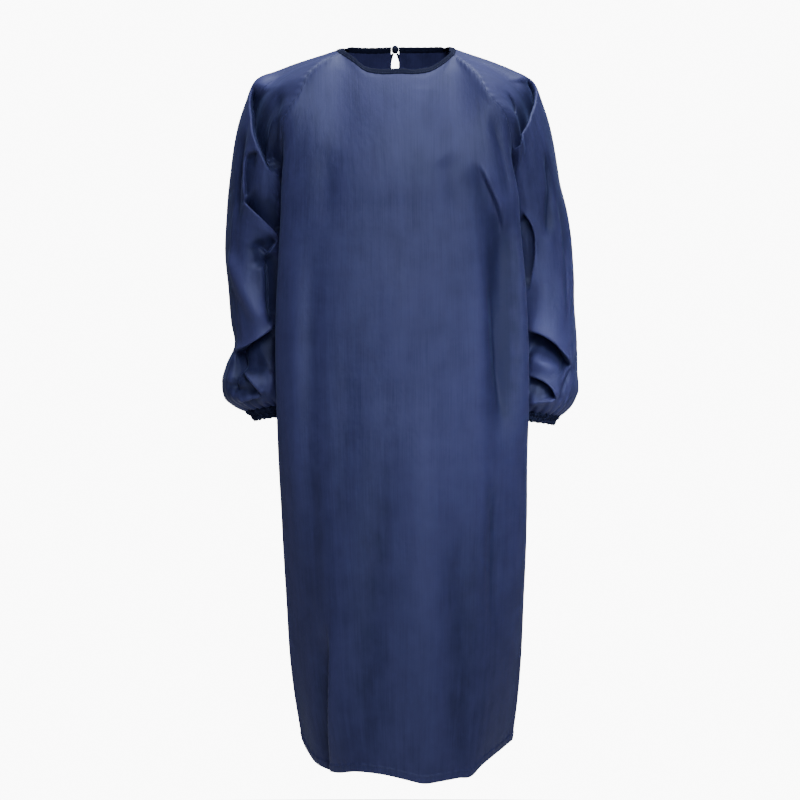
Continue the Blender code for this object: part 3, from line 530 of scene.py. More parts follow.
def sleeveGrid(side):
    sign = -1 if side == "left" else 1
    loop, angles = sleeveLoop(side), sleeveAngles()
    rows = np.array(sleeveRows[side])
    first = ringRow(rows[0], angles, sign)
    reach = np.linalg.norm(first - loop, axis=1, keepdims=True)
    inside = (1 - np.cos(angles)) / 2
    outward = sign * (sleeveForm["out"][0] + sleeveForm["out"][1] * inside)
    inward = (sleeveForm["round"][0] + sleeveForm["round"][1] * inside) * np.sin(angles)
    downward = sleeveForm["fall"][0] + sleeveForm["fall"][1] * inside
    way = unit(np.stack([outward, inward, downward], axis=1))
    seam = unit(np.roll(loop, -1, axis=0) - np.roll(loop, 1, axis=0))
    square = unit(way - seam * np.sum(seam * way, axis=1, keepdims=True))
    leave = unit(square + sleeveForm["lean"] * way)
    for _ in range(sleeveForm["evenRounds"]):
        leave = (np.roll(leave, 1, axis=0) + 2 * leave + np.roll(leave, -1, axis=0)) / 4
    leave = unit(leave)
    arrive = ringRow(rows[1], angles, sign) - first
    fullness = (sleeveForm["fullness"][0] + sleeveForm["fullness"][1] * np.cos(angles))[:, None] * reach
    corner = np.maximum(np.cos(angles), 0.0)[:, None] ** 2 * reach
    top = hermite(loop, leave * (fullness + sleeveForm["corner"][0] * corner),
                  first, unit(arrive) * (fullness + sleeveForm["corner"][1] * corner),
                  even(fineness["cap"]) ** fineness["topCrowd"])
    widths = rows[:, sleeveColumns.index("width")]
    knots = fromZero(np.abs(np.diff(rows[:, 0])) + sleeveForm["widthWeight"] * np.abs(np.diff(widths)))
    lower = between(knots, rows, even(fineness["sleeve"])[1:] * knots[-1])
    return np.concatenate([top, np.stack([ringRow(row, angles, sign) for row in lower])])


def cuffGrid(side):
    # A cuff, with twice the sleeve's columns.
    sign = -1 if side == "left" else 1
    angles = sleeveAngles()
    following = np.append(angles[1:], angles[0] + 2 * math.pi)
    following = np.where(following < angles, following + 2 * math.pi, following)
    fine = np.stack([angles, (angles + following) / 2], axis=1).ravel()
    start, end = np.array(sleeveRows[side][-1]), np.array(cuffEndRow[side])
    return np.stack([ringRow(start + (end - start) * k, fine, sign) for k in even(gathers["rows"])]), fine


def cornerNormals(points, roundIt):
    # Unit normals of a grid: the mean over the four corners that meet at each point.
    total = np.zeros(points.shape)
    for down, across in ((1, 1), (1, -1), (-1, 1), (-1, -1)):
        below = np.roll(points, -down, axis=0) - points
        beside = np.roll(points, -across, axis=1) - points
        corner = unit(np.cross(below, beside)) * down * across
        corner[-1 if down > 0 else 0] = 0.0
        if not roundIt:
            corner[:, -1 if across > 0 else 0] = 0.0
        total += corner
    return unit(total)


foldForm = {
    "stations": 28,          # points along a fold's line
    "nearest": 6,            # points of the cloth that place each of them
    "order": 3,              # of the curves through their depths and facings
    "turned": 0.1,           # cloth that is turned away further than this is left out
    "slack": 0.006,          # how far off the cloth a fold's line may lie and still be on it
    "reach": 3,              # widths to either side within which a fold counts
    "curl": 0.12,            # how far a fold leans over its valley, for each metre of depth
    "undercut": 0.45,        # how far the valley runs in under it
    "plumb": 1.0,            # how much folds sink away from the picture, not square to the cloth
}


def readRow(names, row):
    # A fold or a wave by the names of its columns, with its lengths in metres.
    plain = ("face", "spread", "fade")
    return {name: value if name in plain else np.array(value) / 1000 for name, value in zip(names, row)}


def foldPath(points, out, row):
    # A line bowed through a fold's three places in the picture, laid on the cloth that faces
    # the viewer there, and the way that the cloth faces along it.
    t = np.linspace(0.0, 1.0, foldForm["stations"])[:, None]
    bow = 2 * row["middle"] - (row["start"] + row["end"]) / 2
    line = (1 - t) ** 2 * row["start"] + 2 * t * (1 - t) * bow + t ** 2 * row["end"]
    seen = out[..., 1] * row["face"] < foldForm["turned"]
    lie = np.concatenate([points[seen], out[seen]], axis=1)
    flat = lie[:, [0, 2]]
    path = []
    for place in line:
        far = np.sum((flat - place) ** 2, axis=1)
        near = np.argpartition(far, foldForm["nearest"])[:foldForm["nearest"]]
        weight = 1 / (far[near] + 1e-6)
        path.append(weight @ lie[near] / weight.sum())
    path = np.array(path)
    for part in (1, 3, 4, 5):
        path[:, part] = np.polyval(np.polyfit(t[:, 0], path[:, part], foldForm["order"]), t[:, 0])
    path[:, [0, 2]] = line
    return path[:, :3], unit(path[:-1, 3:] + path[1:, 3:])


def measureFrom(points, path, ways, reach):
    # Which points lie near a path, how far to its left, where along it, and which way left is.
    near = np.all((points > path.min(axis=0) - reach) & (points < path.max(axis=0) + reach), axis=-1)
    run = np.diff(path, axis=0)
    gap = points[near][:, None] - path[:-1]
    t = np.clip(np.sum(gap * run, axis=2) / np.maximum(np.sum(run ** 2, axis=1), 1e-12), 0.0, 1.0)
    foot = gap - run * t[..., None]
    above = np.sum(foot * ways, axis=2)
    beside = np.linalg.norm(foot - above[..., None] * ways, axis=2)
    far = np.hypot(beside, np.maximum(np.abs(above) - foldForm["slack"], 0.0))
    best = np.argmin(far, axis=1)
    pick = np.arange(len(best))
    side = np.sign(np.sum(np.cross(run[best], foot[pick, best]) * ways[best], axis=1))
    left = unit(np.cross(ways, run))[best]
    return near, far[pick, best] * side, (best + t[pick, best]) / len(run), left


def endFade(place, share):
    return smooth(np.minimum(place, 1 - place) / share)


def foldLift(points, out, folds, waves, power):
    # How far the folds drawn over a piece lift and shift its points; power 1 makes them crisp.
    lift, shift = np.zeros(points.shape[:-1]), np.zeros(points.shape)
    for row in folds:
        fold = readRow(foldColumns, row)
        path, ways = foldPath(points, out, fold)
        reach = fold["edge"] + foldForm["reach"] * max(fold["up"], fold["down"])
        near, side, place, left = measureFrom(points, path, ways, reach * max(fold["spread"], 1.0))
        side = side / (1 + (fold["spread"] - 1) * place)
        before, beyond = np.minimum(side, 0.0), np.maximum(side - fold["edge"], 0.0)
        crest = fold["crest"] * np.exp(-np.abs(before / fold["up"]) ** power)
        valley = -fold["valley"] * np.exp(-(beyond / fold["down"]) ** power)
        over = smooth(side / fold["edge"])
        ends = endFade(place, fold["fade"])
        rise = (crest * (1 - over) + valley * over) * ends
        lift[near] += rise
        way = unit(out[near] + foldForm["plumb"] * np.array([0.0, -fold["face"], 0.0]))
        shift[near] += (way - out[near]) * rise[:, None]
        lean = (1 - over) * np.exp(-(before / (2 * fold["up"])) ** 2) * ends
        under = over * np.exp(-(beyond / fold["down"]) ** 2) * ends
        bend = fold["valley"] * (foldForm["curl"] * lean - foldForm["undercut"] * under)
        shift[near] += left * bend[:, None]
    for row in waves:
        wave = readRow(waveColumns, row)
        path, ways = foldPath(points, out, wave)
        reach = foldForm["reach"] * wave["width"] * max(wave["spread"], 1.0)
        near, side, place, _ = measureFrom(points, path, ways, reach)
        side = side / (1 + (wave["spread"] - 1) * place)
        lift[near] += wave["height"] * np.exp(-(side / wave["width"]) ** 2) * endFade(place, wave["fade"])
    return lift, shift


def waviness(shape, seed, count, turns, falls):
    # Soft uneven folds that run down a piece, of height about 1.
    rng = np.random.default_rng(seed)
    down = np.linspace(0.0, 1.0, shape[0])[:, None]
    around = np.linspace(0.0, 1.0, shape[1], endpoint=False)[None, :]
    total = np.zeros(shape)
    for _ in range(count):
        number = rng.integers(*turns)
        drift = 0.5 * np.sin(2 * math.pi * (down * rng.uniform(*falls) + rng.random()))
        strength = 0.5 + 0.5 * np.cos(2 * math.pi * (down * rng.uniform(*falls) + rng.random()))
        total += np.cos(2 * math.pi * (number * around + drift + rng.random())) * strength
    return total / math.sqrt(count)


creaseForm = {
    "bottom": 0.97,          # share of a piece's rows below which none starts
    "stations": 9,
    "length": (0.018, 0.060),
    "bow": 0.2,              # share of the length
    "width": (0.0022, 0.0050),
    "strength": (0.5, 1.0),
    "fade": 0.35,            # share of the length over which each end dies out
}


def smallCreases(points, out, roundIt, seed, count, top, height):
    # Short random creases, from the share top of a piece's rows down.
    rng = np.random.default_rng(seed)
    rows, columns = points.shape[:2]
    stepDown, stepAcross = stepSizes(points).mean(), stepSizes(points, 1).mean()
    t = np.linspace(-0.5, 0.5, creaseForm["stations"])
    lift = np.zeros((rows, columns))
    for _ in range(count):
        i, j = rng.uniform(top, creaseForm["bottom"]) * rows, rng.uniform(0.0, 1.0) * columns
        angle = rng.uniform(0.0, math.pi)
        length = rng.uniform(*creaseForm["length"])
        bow = rng.uniform(-creaseForm["bow"], creaseForm["bow"]) * (4 * t * t - 1) * length
        across = (t * length * math.cos(angle) - bow * math.sin(angle)) / stepAcross
        down = (t * length * math.sin(angle) + bow * math.cos(angle)) / stepDown
        a = np.clip(np.round(i + down).astype(int), 0, rows - 1)
        b = np.round(j + across).astype(int)
        b = b % columns if roundIt else np.clip(b, 0, columns - 1)
        width = rng.uniform(*creaseForm["width"])
        reach = foldForm["reach"] * width
        near, side, place, _ = measureFrom(points, points[a, b], out[a, b][:-1], reach)
        deep = rng.choice((-1.0, 1.0)) * rng.uniform(*creaseForm["strength"]) * height
        lift[near] += deep * np.exp(-(side / width) ** 2) * endFade(place, creaseForm["fade"])
    return lift


seamForm = {
    "grooveDepth": 0.0014,
    "grooveWidth": 0.0026,
    "pitch": 0.012,          # of the puckers beside the seam, with their depth and reach
    "depth": 0.0009,
    "reach": 0.009,
    "drift": (1.3, 41.0),    # how their spacing wanders: size, and turns
    "swell": (0.45, 0.55, 19.0, 0.8),  # how their depth varies: least, size, turns, start
    "calm": (0.8, 0.125, 0.03),        # how much they weaken, how far down, and over what length
}


def puckerWave(place, form):
    # Puckers along a seam, from -1 to 1, and how strong they are there.
    drift, turns = form["drift"]
    wave = np.cos(2 * math.pi * place / form["pitch"] + drift * np.sin(place * turns))
    least, size, turns, start = form["swell"]
    return wave, least + size * np.sin(place * turns + start) ** 2


def seamWork(points, columns):
    # The groove and the puckers beside the seam on a piece's top edge over these columns.
    depth = depthBelow(points[:, columns])
    place = fromZero(stepSizes(points[0, columns]))
    wave, strength = puckerWave(place, seamForm)
    calm, start, length = seamForm["calm"]
    strength = strength * (1 - calm * smooth((place - start) / length))
    puckers = seamForm["depth"] * wave * strength * np.exp(-(depth / seamForm["reach"]) ** 2)
    return puckers - seamForm["grooveDepth"] * np.exp(-(depth / seamForm["grooveWidth"]) ** 2)


def gatherWave(turn):
    # The gathers' rise at an angle round the sleeve's end, from -1 to 1.
    uneven = sum(size * np.sin(turns * turn + start) for size, turns, start in gathers["drift"])
    mean, size, turns, start = gathers["swing"]
    return np.cos(gathers["count"] * turn + uneven) * (mean + size * np.sin(turns * turn + start))


def gatherLift(points, angles):
    mean, swing = gathers["reach"]
    turns, start, second = gathers["sway"]
    reach = mean + swing * np.sin(turns * angles + start) * np.cos(angles + second)
    fade = np.exp(-(heightAbove(points) / reach) ** gathers["fall"])
    return gathers["depth"] * gatherWave(angles) * fade


softening = {
    "yoke": (90, 30),        # rounds, and the rows below the chest over which it dies out
    "cap": (12, 20),         # the same for the top of a sleeve
    "edge": 0.030,           # how far from an edge it comes in
    "share": 0.5,
}


def ease(points, roundIt, rounds):
    # Light smoothing that leaves the edges alone.
    for _ in range(rounds):
        mean = (np.roll(points, 1, axis=0) + np.roll(points, -1, axis=0)
                + np.roll(points, 1, axis=1) + np.roll(points, -1, axis=1)) / 4
        move = (mean - points) * softening["share"]
        move[0] = move[-1] = 0.0
        if not roundIt:
            move[:, 0] = move[:, -1] = 0.0
        points = points + move
    return points


def softenYoke(points):
    # Evens the cloth below the corners of the neck, across its width, and leaves the edges.
    rounds, more = softening["yoke"]
    rows = fineness["yoke"] + more
    across = runLengths(points[:rows])
    share = smooth(depthBelow(points[:rows]) / softening["edge"])
    share = share * smooth(across / softening["edge"]) * smooth((across[:, -1:] - across) / softening["edge"])
    share = share * smooth((rows - np.arange(rows)) / more)[:, None]
    share = share[:, 1:-1, None] * softening["share"]
    for _ in range(rounds):
        mean = (points[:rows, :-2] + points[:rows, 2:]) / 2
        points[:rows, 1:-1] += (mean - points[:rows, 1:-1]) * share
    return points


def softenCap(points):
    # Evens the top of a sleeve around its width, and leaves the seam.
    rounds, more = softening["cap"]
    rows = fineness["cap"] + more
    share = smooth(depthBelow(points[:rows]) / softening["edge"])
    share = share * smooth((rows - np.arange(rows)) / more)[:, None] * softening["share"]
    for _ in range(rounds):
        mean = (np.roll(points[:rows], 1, axis=1) + np.roll(points[:rows], -1, axis=1)) / 2
        points[:rows] += (mean - points[:rows]) * share[..., None]
    return points


# The grids of every cloth piece, with their angles and facing
grids = {"frontPanelCloth": softenYoke(frontGrid())}
facing = {"frontPanelCloth": 1}
for side in ("left", "right"):
    tag = side.capitalize()
    turned = 1 if side == "left" else -1
    grids["back" + tag + "Cloth"] = backGrid(side)
    facing["back" + tag + "Cloth"] = -turned
    grids["sleeve" + tag + "Cloth"] = softenCap(sleeveGrid(side))
    facing["sleeve" + tag + "Cloth"] = turned
    grids["cuff" + tag + "Band"], cuffAngles = cuffGrid(side)
    facing["cuff" + tag + "Band"] = turned
tubes = [name for name in grids if name.startswith(("sleeve", "cuff"))]


def seamPairs():
    # Every two edges that are sewn together: piece, rows, columns and the step inward, twice.
    front, back = fineness["frontRaglan"], fineness["backRaglan"]
    last = 2 * front + fineness["neck"]
    down, downBack = np.arange(front + 1), np.arange(back + 1)
    rows = np.arange(grids["frontPanelCloth"].shape[0])
    loop = np.arange(front + back + fineness["shoulder"])
    sleeveEnd = grids["sleeveLeftCloth"].shape[0] - 1
    pairs = []
    for tag in ("Left", "Right"):
        panel, sleeve, cuff = "back" + tag + "Cloth", "sleeve" + tag + "Cloth", "cuff" + tag + "Band"
        frontColumns = front - down if tag == "Left" else last - front + down
        edge, inward = (0, 1) if tag == "Left" else (last, -1)
        pairs += [
            (("frontPanelCloth", 0 * down, frontColumns, (1, 0)), (sleeve, 0 * down, down, (1, 0))),
            ((panel, 0 * downBack, downBack, (1, 0)), (sleeve, 0 * downBack, front + downBack, (1, 0))),
            (("frontPanelCloth", rows, 0 * rows + edge, (0, inward)), (panel, rows, 0 * rows, (0, 1))),
            ((sleeve, 0 * loop + sleeveEnd, loop, (-1, 0)), (cuff, 0 * loop, 2 * loop, (1, 0))),
        ]
    return pairs


def allNormals():
    # Normals of every grid, facing out, shared along the seams.
    normals = {name: cornerNormals(points, name in tubes) * facing[name] for name, points in grids.items()}
    for _ in range(cloth["normalRounds"]):
        for edges in seamPairs():
            ways, sides = [], []
            for piece, rows, columns, step in edges:
                beside = (columns + step[1]) % grids[piece].shape[1]
                ways.append(unit(grids[piece][rows + step[0], beside] - grids[piece][rows, columns]))
                sides.append(normals[piece][rows, columns])
            cosine = np.sum(sides[0] * sides[1], axis=1, keepdims=True)
            closed = np.clip(cloth["sharpSeam"] - cosine, 0.0, 1.0)
            mean = unit(sides[0] + sides[1] + closed * (ways[0] + ways[1]))
            for piece, rows, columns, _step in edges:
                normals[piece][rows, columns] = mean
    return normals


def edgeFade(points, top, bottom):
    # 1 inside a piece, falling to 0 at its sewn top and bottom edges.
    depth = depthBelow(points)
    fade = smooth(depth / top)
    if bottom:
        fade = fade * smooth((depth[-1] - depth) / bottom)
    return fade


# Of each piece the seed, the folds and waves, and its small creases: how many, from what share of
# its rows down, and how high
clothWork = {
    "frontPanelCloth": (11, frontFolds, frontWaves, ((60, 0.03, 0.0004),)),
    "backLeftCloth": (12, backFolds["left"], backWaves["left"], ((40, 0.03, 0.0004),)),
    "backRightCloth": (13, backFolds["right"], backWaves["right"], ((40, 0.03, 0.0004),)),
    "sleeveLeftCloth": (31, sleeveFolds["left"], sleeveWaves["left"],
                        ((50, 0.05, 0.0007), (50, 0.72, 0.0010))),
    "sleeveRightCloth": (32, sleeveFolds["right"], sleeveWaves["right"],
                         ((50, 0.05, 0.0007), (50, 0.72, 0.0010))),
}
softWork = {  # how crisp folds are, then the height, number and turns of the long uneven ones
    "panel": (2.0, 0.0011, 7, (3, 9), (0.4, 1.3)),
    "sleeve": (1.2, 0.0012, 7, (3, 9), (0.5, 1.6)),
}


def foldWork(name, points, out, fade):
    seed, folds, waves, creases = clothWork[name]
    power, height, number, turns, falls = softWork["sleeve" if name in tubes else "panel"]
    lift, shift = foldLift(points, out, folds, waves, power)
    lift = lift * fade + height * waviness(points.shape[:2], seed, number, turns, falls) * fade
    for count, top, high in creases:
        seed += 20
        lift += smallCreases(points, out, name in tubes, seed, count, top, high) * fade
    return lift, shift * fade[..., None]


def workPanel(name, points, out):
    # The lift and shift of a front or back panel.
    isFront = name == "frontPanelCloth"
    across, up = runLengths(points), heightAbove(points)
    inner = across[:, -1:] - across
    fade = edgeFade(points, cloth["seamFade"], 0) * smooth(across / cloth["sideFade"])
    if isFront:
        fade = fade * smooth(inner / cloth["sideFade"])
    lift, shift = foldWork(name, points, out, fade)
    steps = fineness["frontRaglan"] if isFront else fineness["backRaglan"]
    left = np.arange(steps, -1, -1)
    lift[:, left] += seamWork(points, left)
    if isFront:
        right = np.arange(points.shape[1] - 1 - steps, points.shape[1])
        lift[:, right] += seamWork(points, right)
    band = smooth((cloth["hemBand"] - up) / cloth["turnStep"] + 0.5)
    high, reach, turns, drift, driftTurns = cloth["tucks"]
    tuck = high * np.cos(across * turns + drift * np.sin(across * driftTurns))
    lift += cloth["hemRise"] * band + tuck * np.exp(-((up - cloth["hemBand"]) / reach) ** 2)
    if not isFront:
        lift += cloth["hemRise"] * smooth((cloth["edgeBand"] - inner) / cloth["turnStep"] + 0.5) * (1 - band)
    return lift, shift


def workSleeve(name, points, out):
    fade = edgeFade(points, cloth["sleeveFade"], cloth["sleeveEndFade"])
    lift, shift = foldWork(name, points, out, fade)
    lift += gatherLift(points, sleeveAngles())
    tip, height, reach = shoulderTips["left" if "Left" in name else "right"]
    lift += height * np.exp(-np.sum(((points - tip) / reach) ** 2, axis=2)) * fade
    front, back = fineness["frontRaglan"], fineness["backRaglan"]
    for columns in (np.arange(front + 1), np.arange(front + back, front, -1)):
        lift[:, columns] += seamWork(points, columns)
    return lift, shift


def workCuff():
    # Gathers that the elastic draws in, swelling between the rows of stitches, with a small frill.
    share = even(gathers["rows"])[:, None]
    puff, power = gathers["puff"]
    swell = puff * np.abs(np.sin(2 * math.pi * share)) ** power
    size, turns, drift, driftTurns = gathers["fine"]
    fine = size * np.cos(gathers["count"] * turns * cuffAngles + drift * np.sin(driftTurns * cuffAngles))
    grow, start, length = gathers["frill"]
    strength = 1 - gathers["calm"] * np.sin(math.pi * share) + grow * smooth((share - start) / length)
    wave = gatherWave(cuffAngles)[None, :] + fine[None, :] * smooth(share / gathers["fineFrom"])
    return gathers["depth"] * wave * strength + swell


normals = allNormals()
lifts, shifts = {}, {}
for name, points in grids.items():
    if name.startswith("sleeve"):
        lifts[name], shifts[name] = workSleeve(name, points, normals[name])
    elif name.startswith("cuff"):
        lifts[name], shifts[name] = workCuff(), 0.0
    else:
        lifts[name], shifts[name] = workPanel(name, points, normals[name])
for name, points in grids.items():
    worked = points + normals[name] * lifts[name][..., None] + shifts[name]
    if not name.startswith("cuff"):
        worked = ease(worked, name in tubes, cloth["smoothRounds"])
    grids[name] = worked
for edges in seamPairs():
    mean = sum(grids[piece][rows, columns] for piece, rows, columns, _ in edges) / 2
    for piece, rows, columns, _ in edges:
        grids[piece][rows, columns] = mean
for tag in ("Left", "Right"):
    top = grids["cuff" + tag + "Band"][0]
    top[1::2] = (top[::2] + np.roll(top[::2], -1, axis=0)) / 2
normals = allNormals()
print("cloth worked")


# Materials
def makeMaterial(name):
    material = bpy.data.materials.new(name)
    material.use_nodes = True
    return material, material.node_tree


def addNode(tree, kind, values=None, links=None, **settings):
    # A node with its settings, the values of its sockets, and what is linked into them.
    node = tree.nodes.new(kind)
    for key, value in settings.items():
        setattr(node, key, value)
    for key, value in (values or {}).items():
        node.inputs[key].default_value = value
    for key, source in (links or {}).items():
        tree.links.new(source, node.inputs[key])
    return node


def addMath(tree, operation, *terms):
    node = addNode(tree, "ShaderNodeMath", operation=operation)
    for socket, term in zip(node.inputs, terms):
        if isinstance(term, (int, float)):
            socket.default_value = term
        else:
            tree.links.new(term, socket)
    return node.outputs[0]


def addNoise(tree, vector, stretch, detail):
    # Noise over the weave's own coordinates, in metres, stretched across or down.
    mapping = addNode(tree, "ShaderNodeMapping", {"Scale": stretch}, {"Vector": vector})
    values = {"Scale": 1.0, "Detail": detail}
    noise = addNode(tree, "ShaderNodeTexNoise", values, {"Vector": mapping.outputs[0]})
    return noise.outputs["Fac"]


coated = {
    "colour": (0.0300, 0.0315, 0.1020),
    "worn": (0.0410, 0.0425, 0.1320),   # raised places and streaks
    "deep": (0.0125, 0.0140, 0.0530),   # painted shade in the valleys of the folds
    "panelShadeAndWear": 0.35,                  # how much of the painted shade in valleys and the rubbed paleness of raised places shows on the front and backs
    "roughness": 0.55,
    "shine": 0.36,
    "sheen": 0.10,
    "weavePitch": 0.0007,
    "weaveDepth": 0.00003,
}
trimCloth = {
    "colour": (0.0070, 0.0085, 0.0250),
    "worn": (0.0120, 0.0145, 0.0400),
    # painted shade in the hollows of the cuff's gathers and the binding's puckers
    "deep": (0.0035, 0.0045, 0.0150),
    "roughness": 0.80,
    "shine": 0.12,
    "sheen": 0.02,
    "weavePitch": 0.0009,
    "weaveDepth": 0.00008,
}
surface = {  # what both cloths share; noises give how fine they are across and down, and their detail
    "streaks": ((900.0, 14.0, 1.0), 4.0),
    "broad": ((110.0, 5.0, 1.0), 3.0),
    "mottle": ((34.0, 26.0, 1.0), 4.0),
    "crumple": ((150.0, 90.0, 1.0), 4.0),
    "tone": {"streaks": 0.32, "broad": 0.20, "mottle": 0.30},  # how much each noise counts in the tone
    "toneBase": 0.115,
    # the lift in millimetres moves the tone: valleys toward the deep colour as painted shade, raised places
    # toward worn
    "toneRaised": 0.045,
    "stops": (0.30, 0.55, 0.80),        # tones of the deep (painted shade), plain and worn colours
    "roughStreaks": 0.16,
    "weaveStrength": 0.5,
    "crumpleStrength": 0.45,
    "crumpleDepth": 0.0009,
    "sheenRoughness": 0.4,
    "sheenTint": (0.35, 0.45, 1.0, 1.0),
    "shineTint": (0.66, 0.76, 1.0, 1.0),
}
threadLook = {"colour": (0.020, 0.027, 0.085), "roughness": 0.65, "twist": 900.0, "shades": (0.6, 1.5)}


def clothMaterial(name, look):
    # Woven cloth: threads both ways, streaks down the warp, mottling, paler raised places, and painted shade
    # that darkens the valleys of the folds.
    material, tree = makeMaterial(name)
    shader = tree.nodes["Principled BSDF"]
    weave = addNode(tree, "ShaderNodeUVMap", uv_map="weave").outputs[0]
    parts = addNode(tree, "ShaderNodeSeparateXYZ", None, {0: weave})
    turn = 2 * math.pi / look["weavePitch"]
    warp = addMath(tree, "SINE", addMath(tree, "MULTIPLY", parts.outputs["X"], turn))
    weft = addMath(tree, "SINE", addMath(tree, "MULTIPLY", parts.outputs["Y"], turn))
    threads = addMath(tree, "MULTIPLY", warp, weft)
    noises = {}
    for kind in ("streaks", "broad", "mottle", "crumple"):
        noises[kind] = addNoise(tree, weave, *surface[kind])
    raised = addNode(tree, "ShaderNodeAttribute", attribute_name="lift").outputs["Fac"]
    tone = surface["toneBase"]
    for kind, share in surface["tone"].items():
        tone = addMath(tree, "ADD", tone, addMath(tree, "MULTIPLY", noises[kind], share))
    # Painted shade: negative lift in the valleys darkens the colour toward deep, and raised places turn paler
    tone = addMath(tree, "ADD", tone, addMath(tree, "MULTIPLY", raised, surface["toneRaised"]))
    ramp = addNode(tree, "ShaderNodeValToRGB", None, {"Fac": tone})
    deep, plain, worn = surface["stops"]
    ramp.color_ramp.elements[0].position = deep
    ramp.color_ramp.elements[0].color = (*look["deep"], 1.0)
    ramp.color_ramp.elements[1].position = worn
    ramp.color_ramp.elements[1].color = (*look["worn"], 1.0)
    middle = ramp.color_ramp.elements.new(plain)
    middle.color = (*look["colour"], 1.0)
    tree.links.new(ramp.outputs["Color"], shader.inputs["Base Color"])
    rough = addMath(tree, "MULTIPLY", noises["streaks"], surface["roughStreaks"])
    rough = addMath(tree, "ADD", rough, look["roughness"] - surface["roughStreaks"] / 2)
    tree.links.new(rough, shader.inputs["Roughness"])
    values = {"Strength": surface["weaveStrength"], "Distance": look["weaveDepth"]}
    fine = addNode(tree, "ShaderNodeBump", values, {"Height": threads})
    values = {"Strength": surface["crumpleStrength"], "Distance": surface["crumpleDepth"]}
    links = {"Height": noises["crumple"], "Normal": fine.outputs["Normal"]}
    soft = addNode(tree, "ShaderNodeBump", values, links)
    tree.links.new(soft.outputs["Normal"], shader.inputs["Normal"])
    shader.inputs["Sheen Weight"].default_value = look["sheen"]
    shader.inputs["Sheen Roughness"].default_value = surface["sheenRoughness"]
    shader.inputs["Sheen Tint"].default_value = surface["sheenTint"]
    shader.inputs["Specular Tint"].default_value = surface["shineTint"]
    shader.inputs["Specular IOR Level"].default_value = look["shine"]
    shader.inputs["Metallic"].default_value = 0.0
    return material


def threadMaterial():
    material, tree = makeMaterial("sewingThread")
    shader = tree.nodes["Principled BSDF"]
    place = addNode(tree, "ShaderNodeTexCoord").outputs["Object"]
    twist = addNode(tree, "ShaderNodeTexNoise", {"Scale": threadLook["twist"]}, {"Vector": place})
    ramp = addNode(tree, "ShaderNodeValToRGB", None, {"Fac": twist.outputs["Fac"]})
    for element, shade in zip(ramp.color_ramp.elements, threadLook["shades"]):
        element.color = (*(shade * value for value in threadLook["colour"]), 1.0)
    tree.links.new(ramp.outputs["Color"], shader.inputs["Base Color"])
    shader.inputs["Roughness"].default_value = threadLook["roughness"]
    return material


coatedCloth = clothMaterial("coatedNavyCloth", coated)
bindingCloth = clothMaterial("darkNavyBinding", trimCloth)
thread = threadMaterial()


# Pieces
def addObject(name, data):
    item = bpy.data.objects.new(name, data)
    bpy.context.scene.collection.objects.link(item)
    return item


def makeMesh(name, vertices, quads, uvs, lift, material):
    mesh = bpy.data.meshes.new(name)
    mesh.from_pydata(vertices.tolist(), [], quads.tolist())
    mesh.shade_smooth()
    layer = mesh.uv_layers.new(name="weave")
    layer.data.foreach_set("uv", uvs.astype(np.float32).ravel())
    # The lift in millimetres, which the cloth's colour turns into painted shade in the valleys and paler
    # raised places
    attribute = mesh.attributes.new("lift", "FLOAT", "POINT")
    attribute.data.foreach_set("value", lift.astype(np.float32).ravel())
    mesh.materials.append(material)
    return addObject(name, mesh)


def gridFaces(rows, columns, last, u, v):
    # The quads of a grid up to its last column, and where on the weave their corners lie.
    i, j = np.meshgrid(np.arange(rows - 1), np.arange(last), indexing="ij")
    i, j = i.ravel(), j.ravel()
    corners = ((i, j), (i + 1, j), (i + 1, j + 1), (i, j + 1))
    quads = np.stack([a * columns + b % columns for a, b in corners], axis=1)
    return quads, np.stack([np.stack([u[b], v[a]], 1) for a, b in corners], axis=1)


def makeShell(name, points, out, lift, material):
    # A thin closed shell: an outer and an inner sheet, joined around their edges.
    roundIt = name in tubes
    rows, columns = points.shape[:2]
    half = cloth["thick"] / 2
    vertices = np.concatenate([(points + out * half).reshape(-1, 3), (points - out * half).reshape(-1, 3)])
    last = columns if roundIt else columns - 1
    shift = rows * columns
    u = fromZero(stepSizes(points, 1).mean(axis=0))
    u = np.append(u, u[-1] + u[1])
    v = -fromZero(stepSizes(points).mean(axis=1))
    outer, flat = gridFaces(rows, columns, last, u, v)
    quads, uvs = [outer, outer[:, ::-1] + shift], [flat, flat[:, ::-1]]

    def addRim(a, b):
        quads.append(np.stack([b, a, a + shift, b + shift], axis=1))
        uvs.append(np.zeros((len(a), 4, 2)))

    around = np.arange(last)
    beside = (around + 1) % columns
    base = (rows - 1) * columns
    addRim(beside, around)
    addRim(base + around, base + beside)
    if not roundIt:
        down = np.arange(rows - 1) * columns
        addRim(down, down + columns)
        addRim(down + 2 * columns - 1, down + columns - 1)
    quads, uvs = np.concatenate(quads), np.concatenate(uvs)
    if facing[name] < 0:
        quads, uvs = quads[:, ::-1], uvs[:, ::-1]
    both = np.concatenate([lift.ravel(), lift.ravel()]) * 1000
    return makeMesh(name, vertices, quads, uvs, both, material)


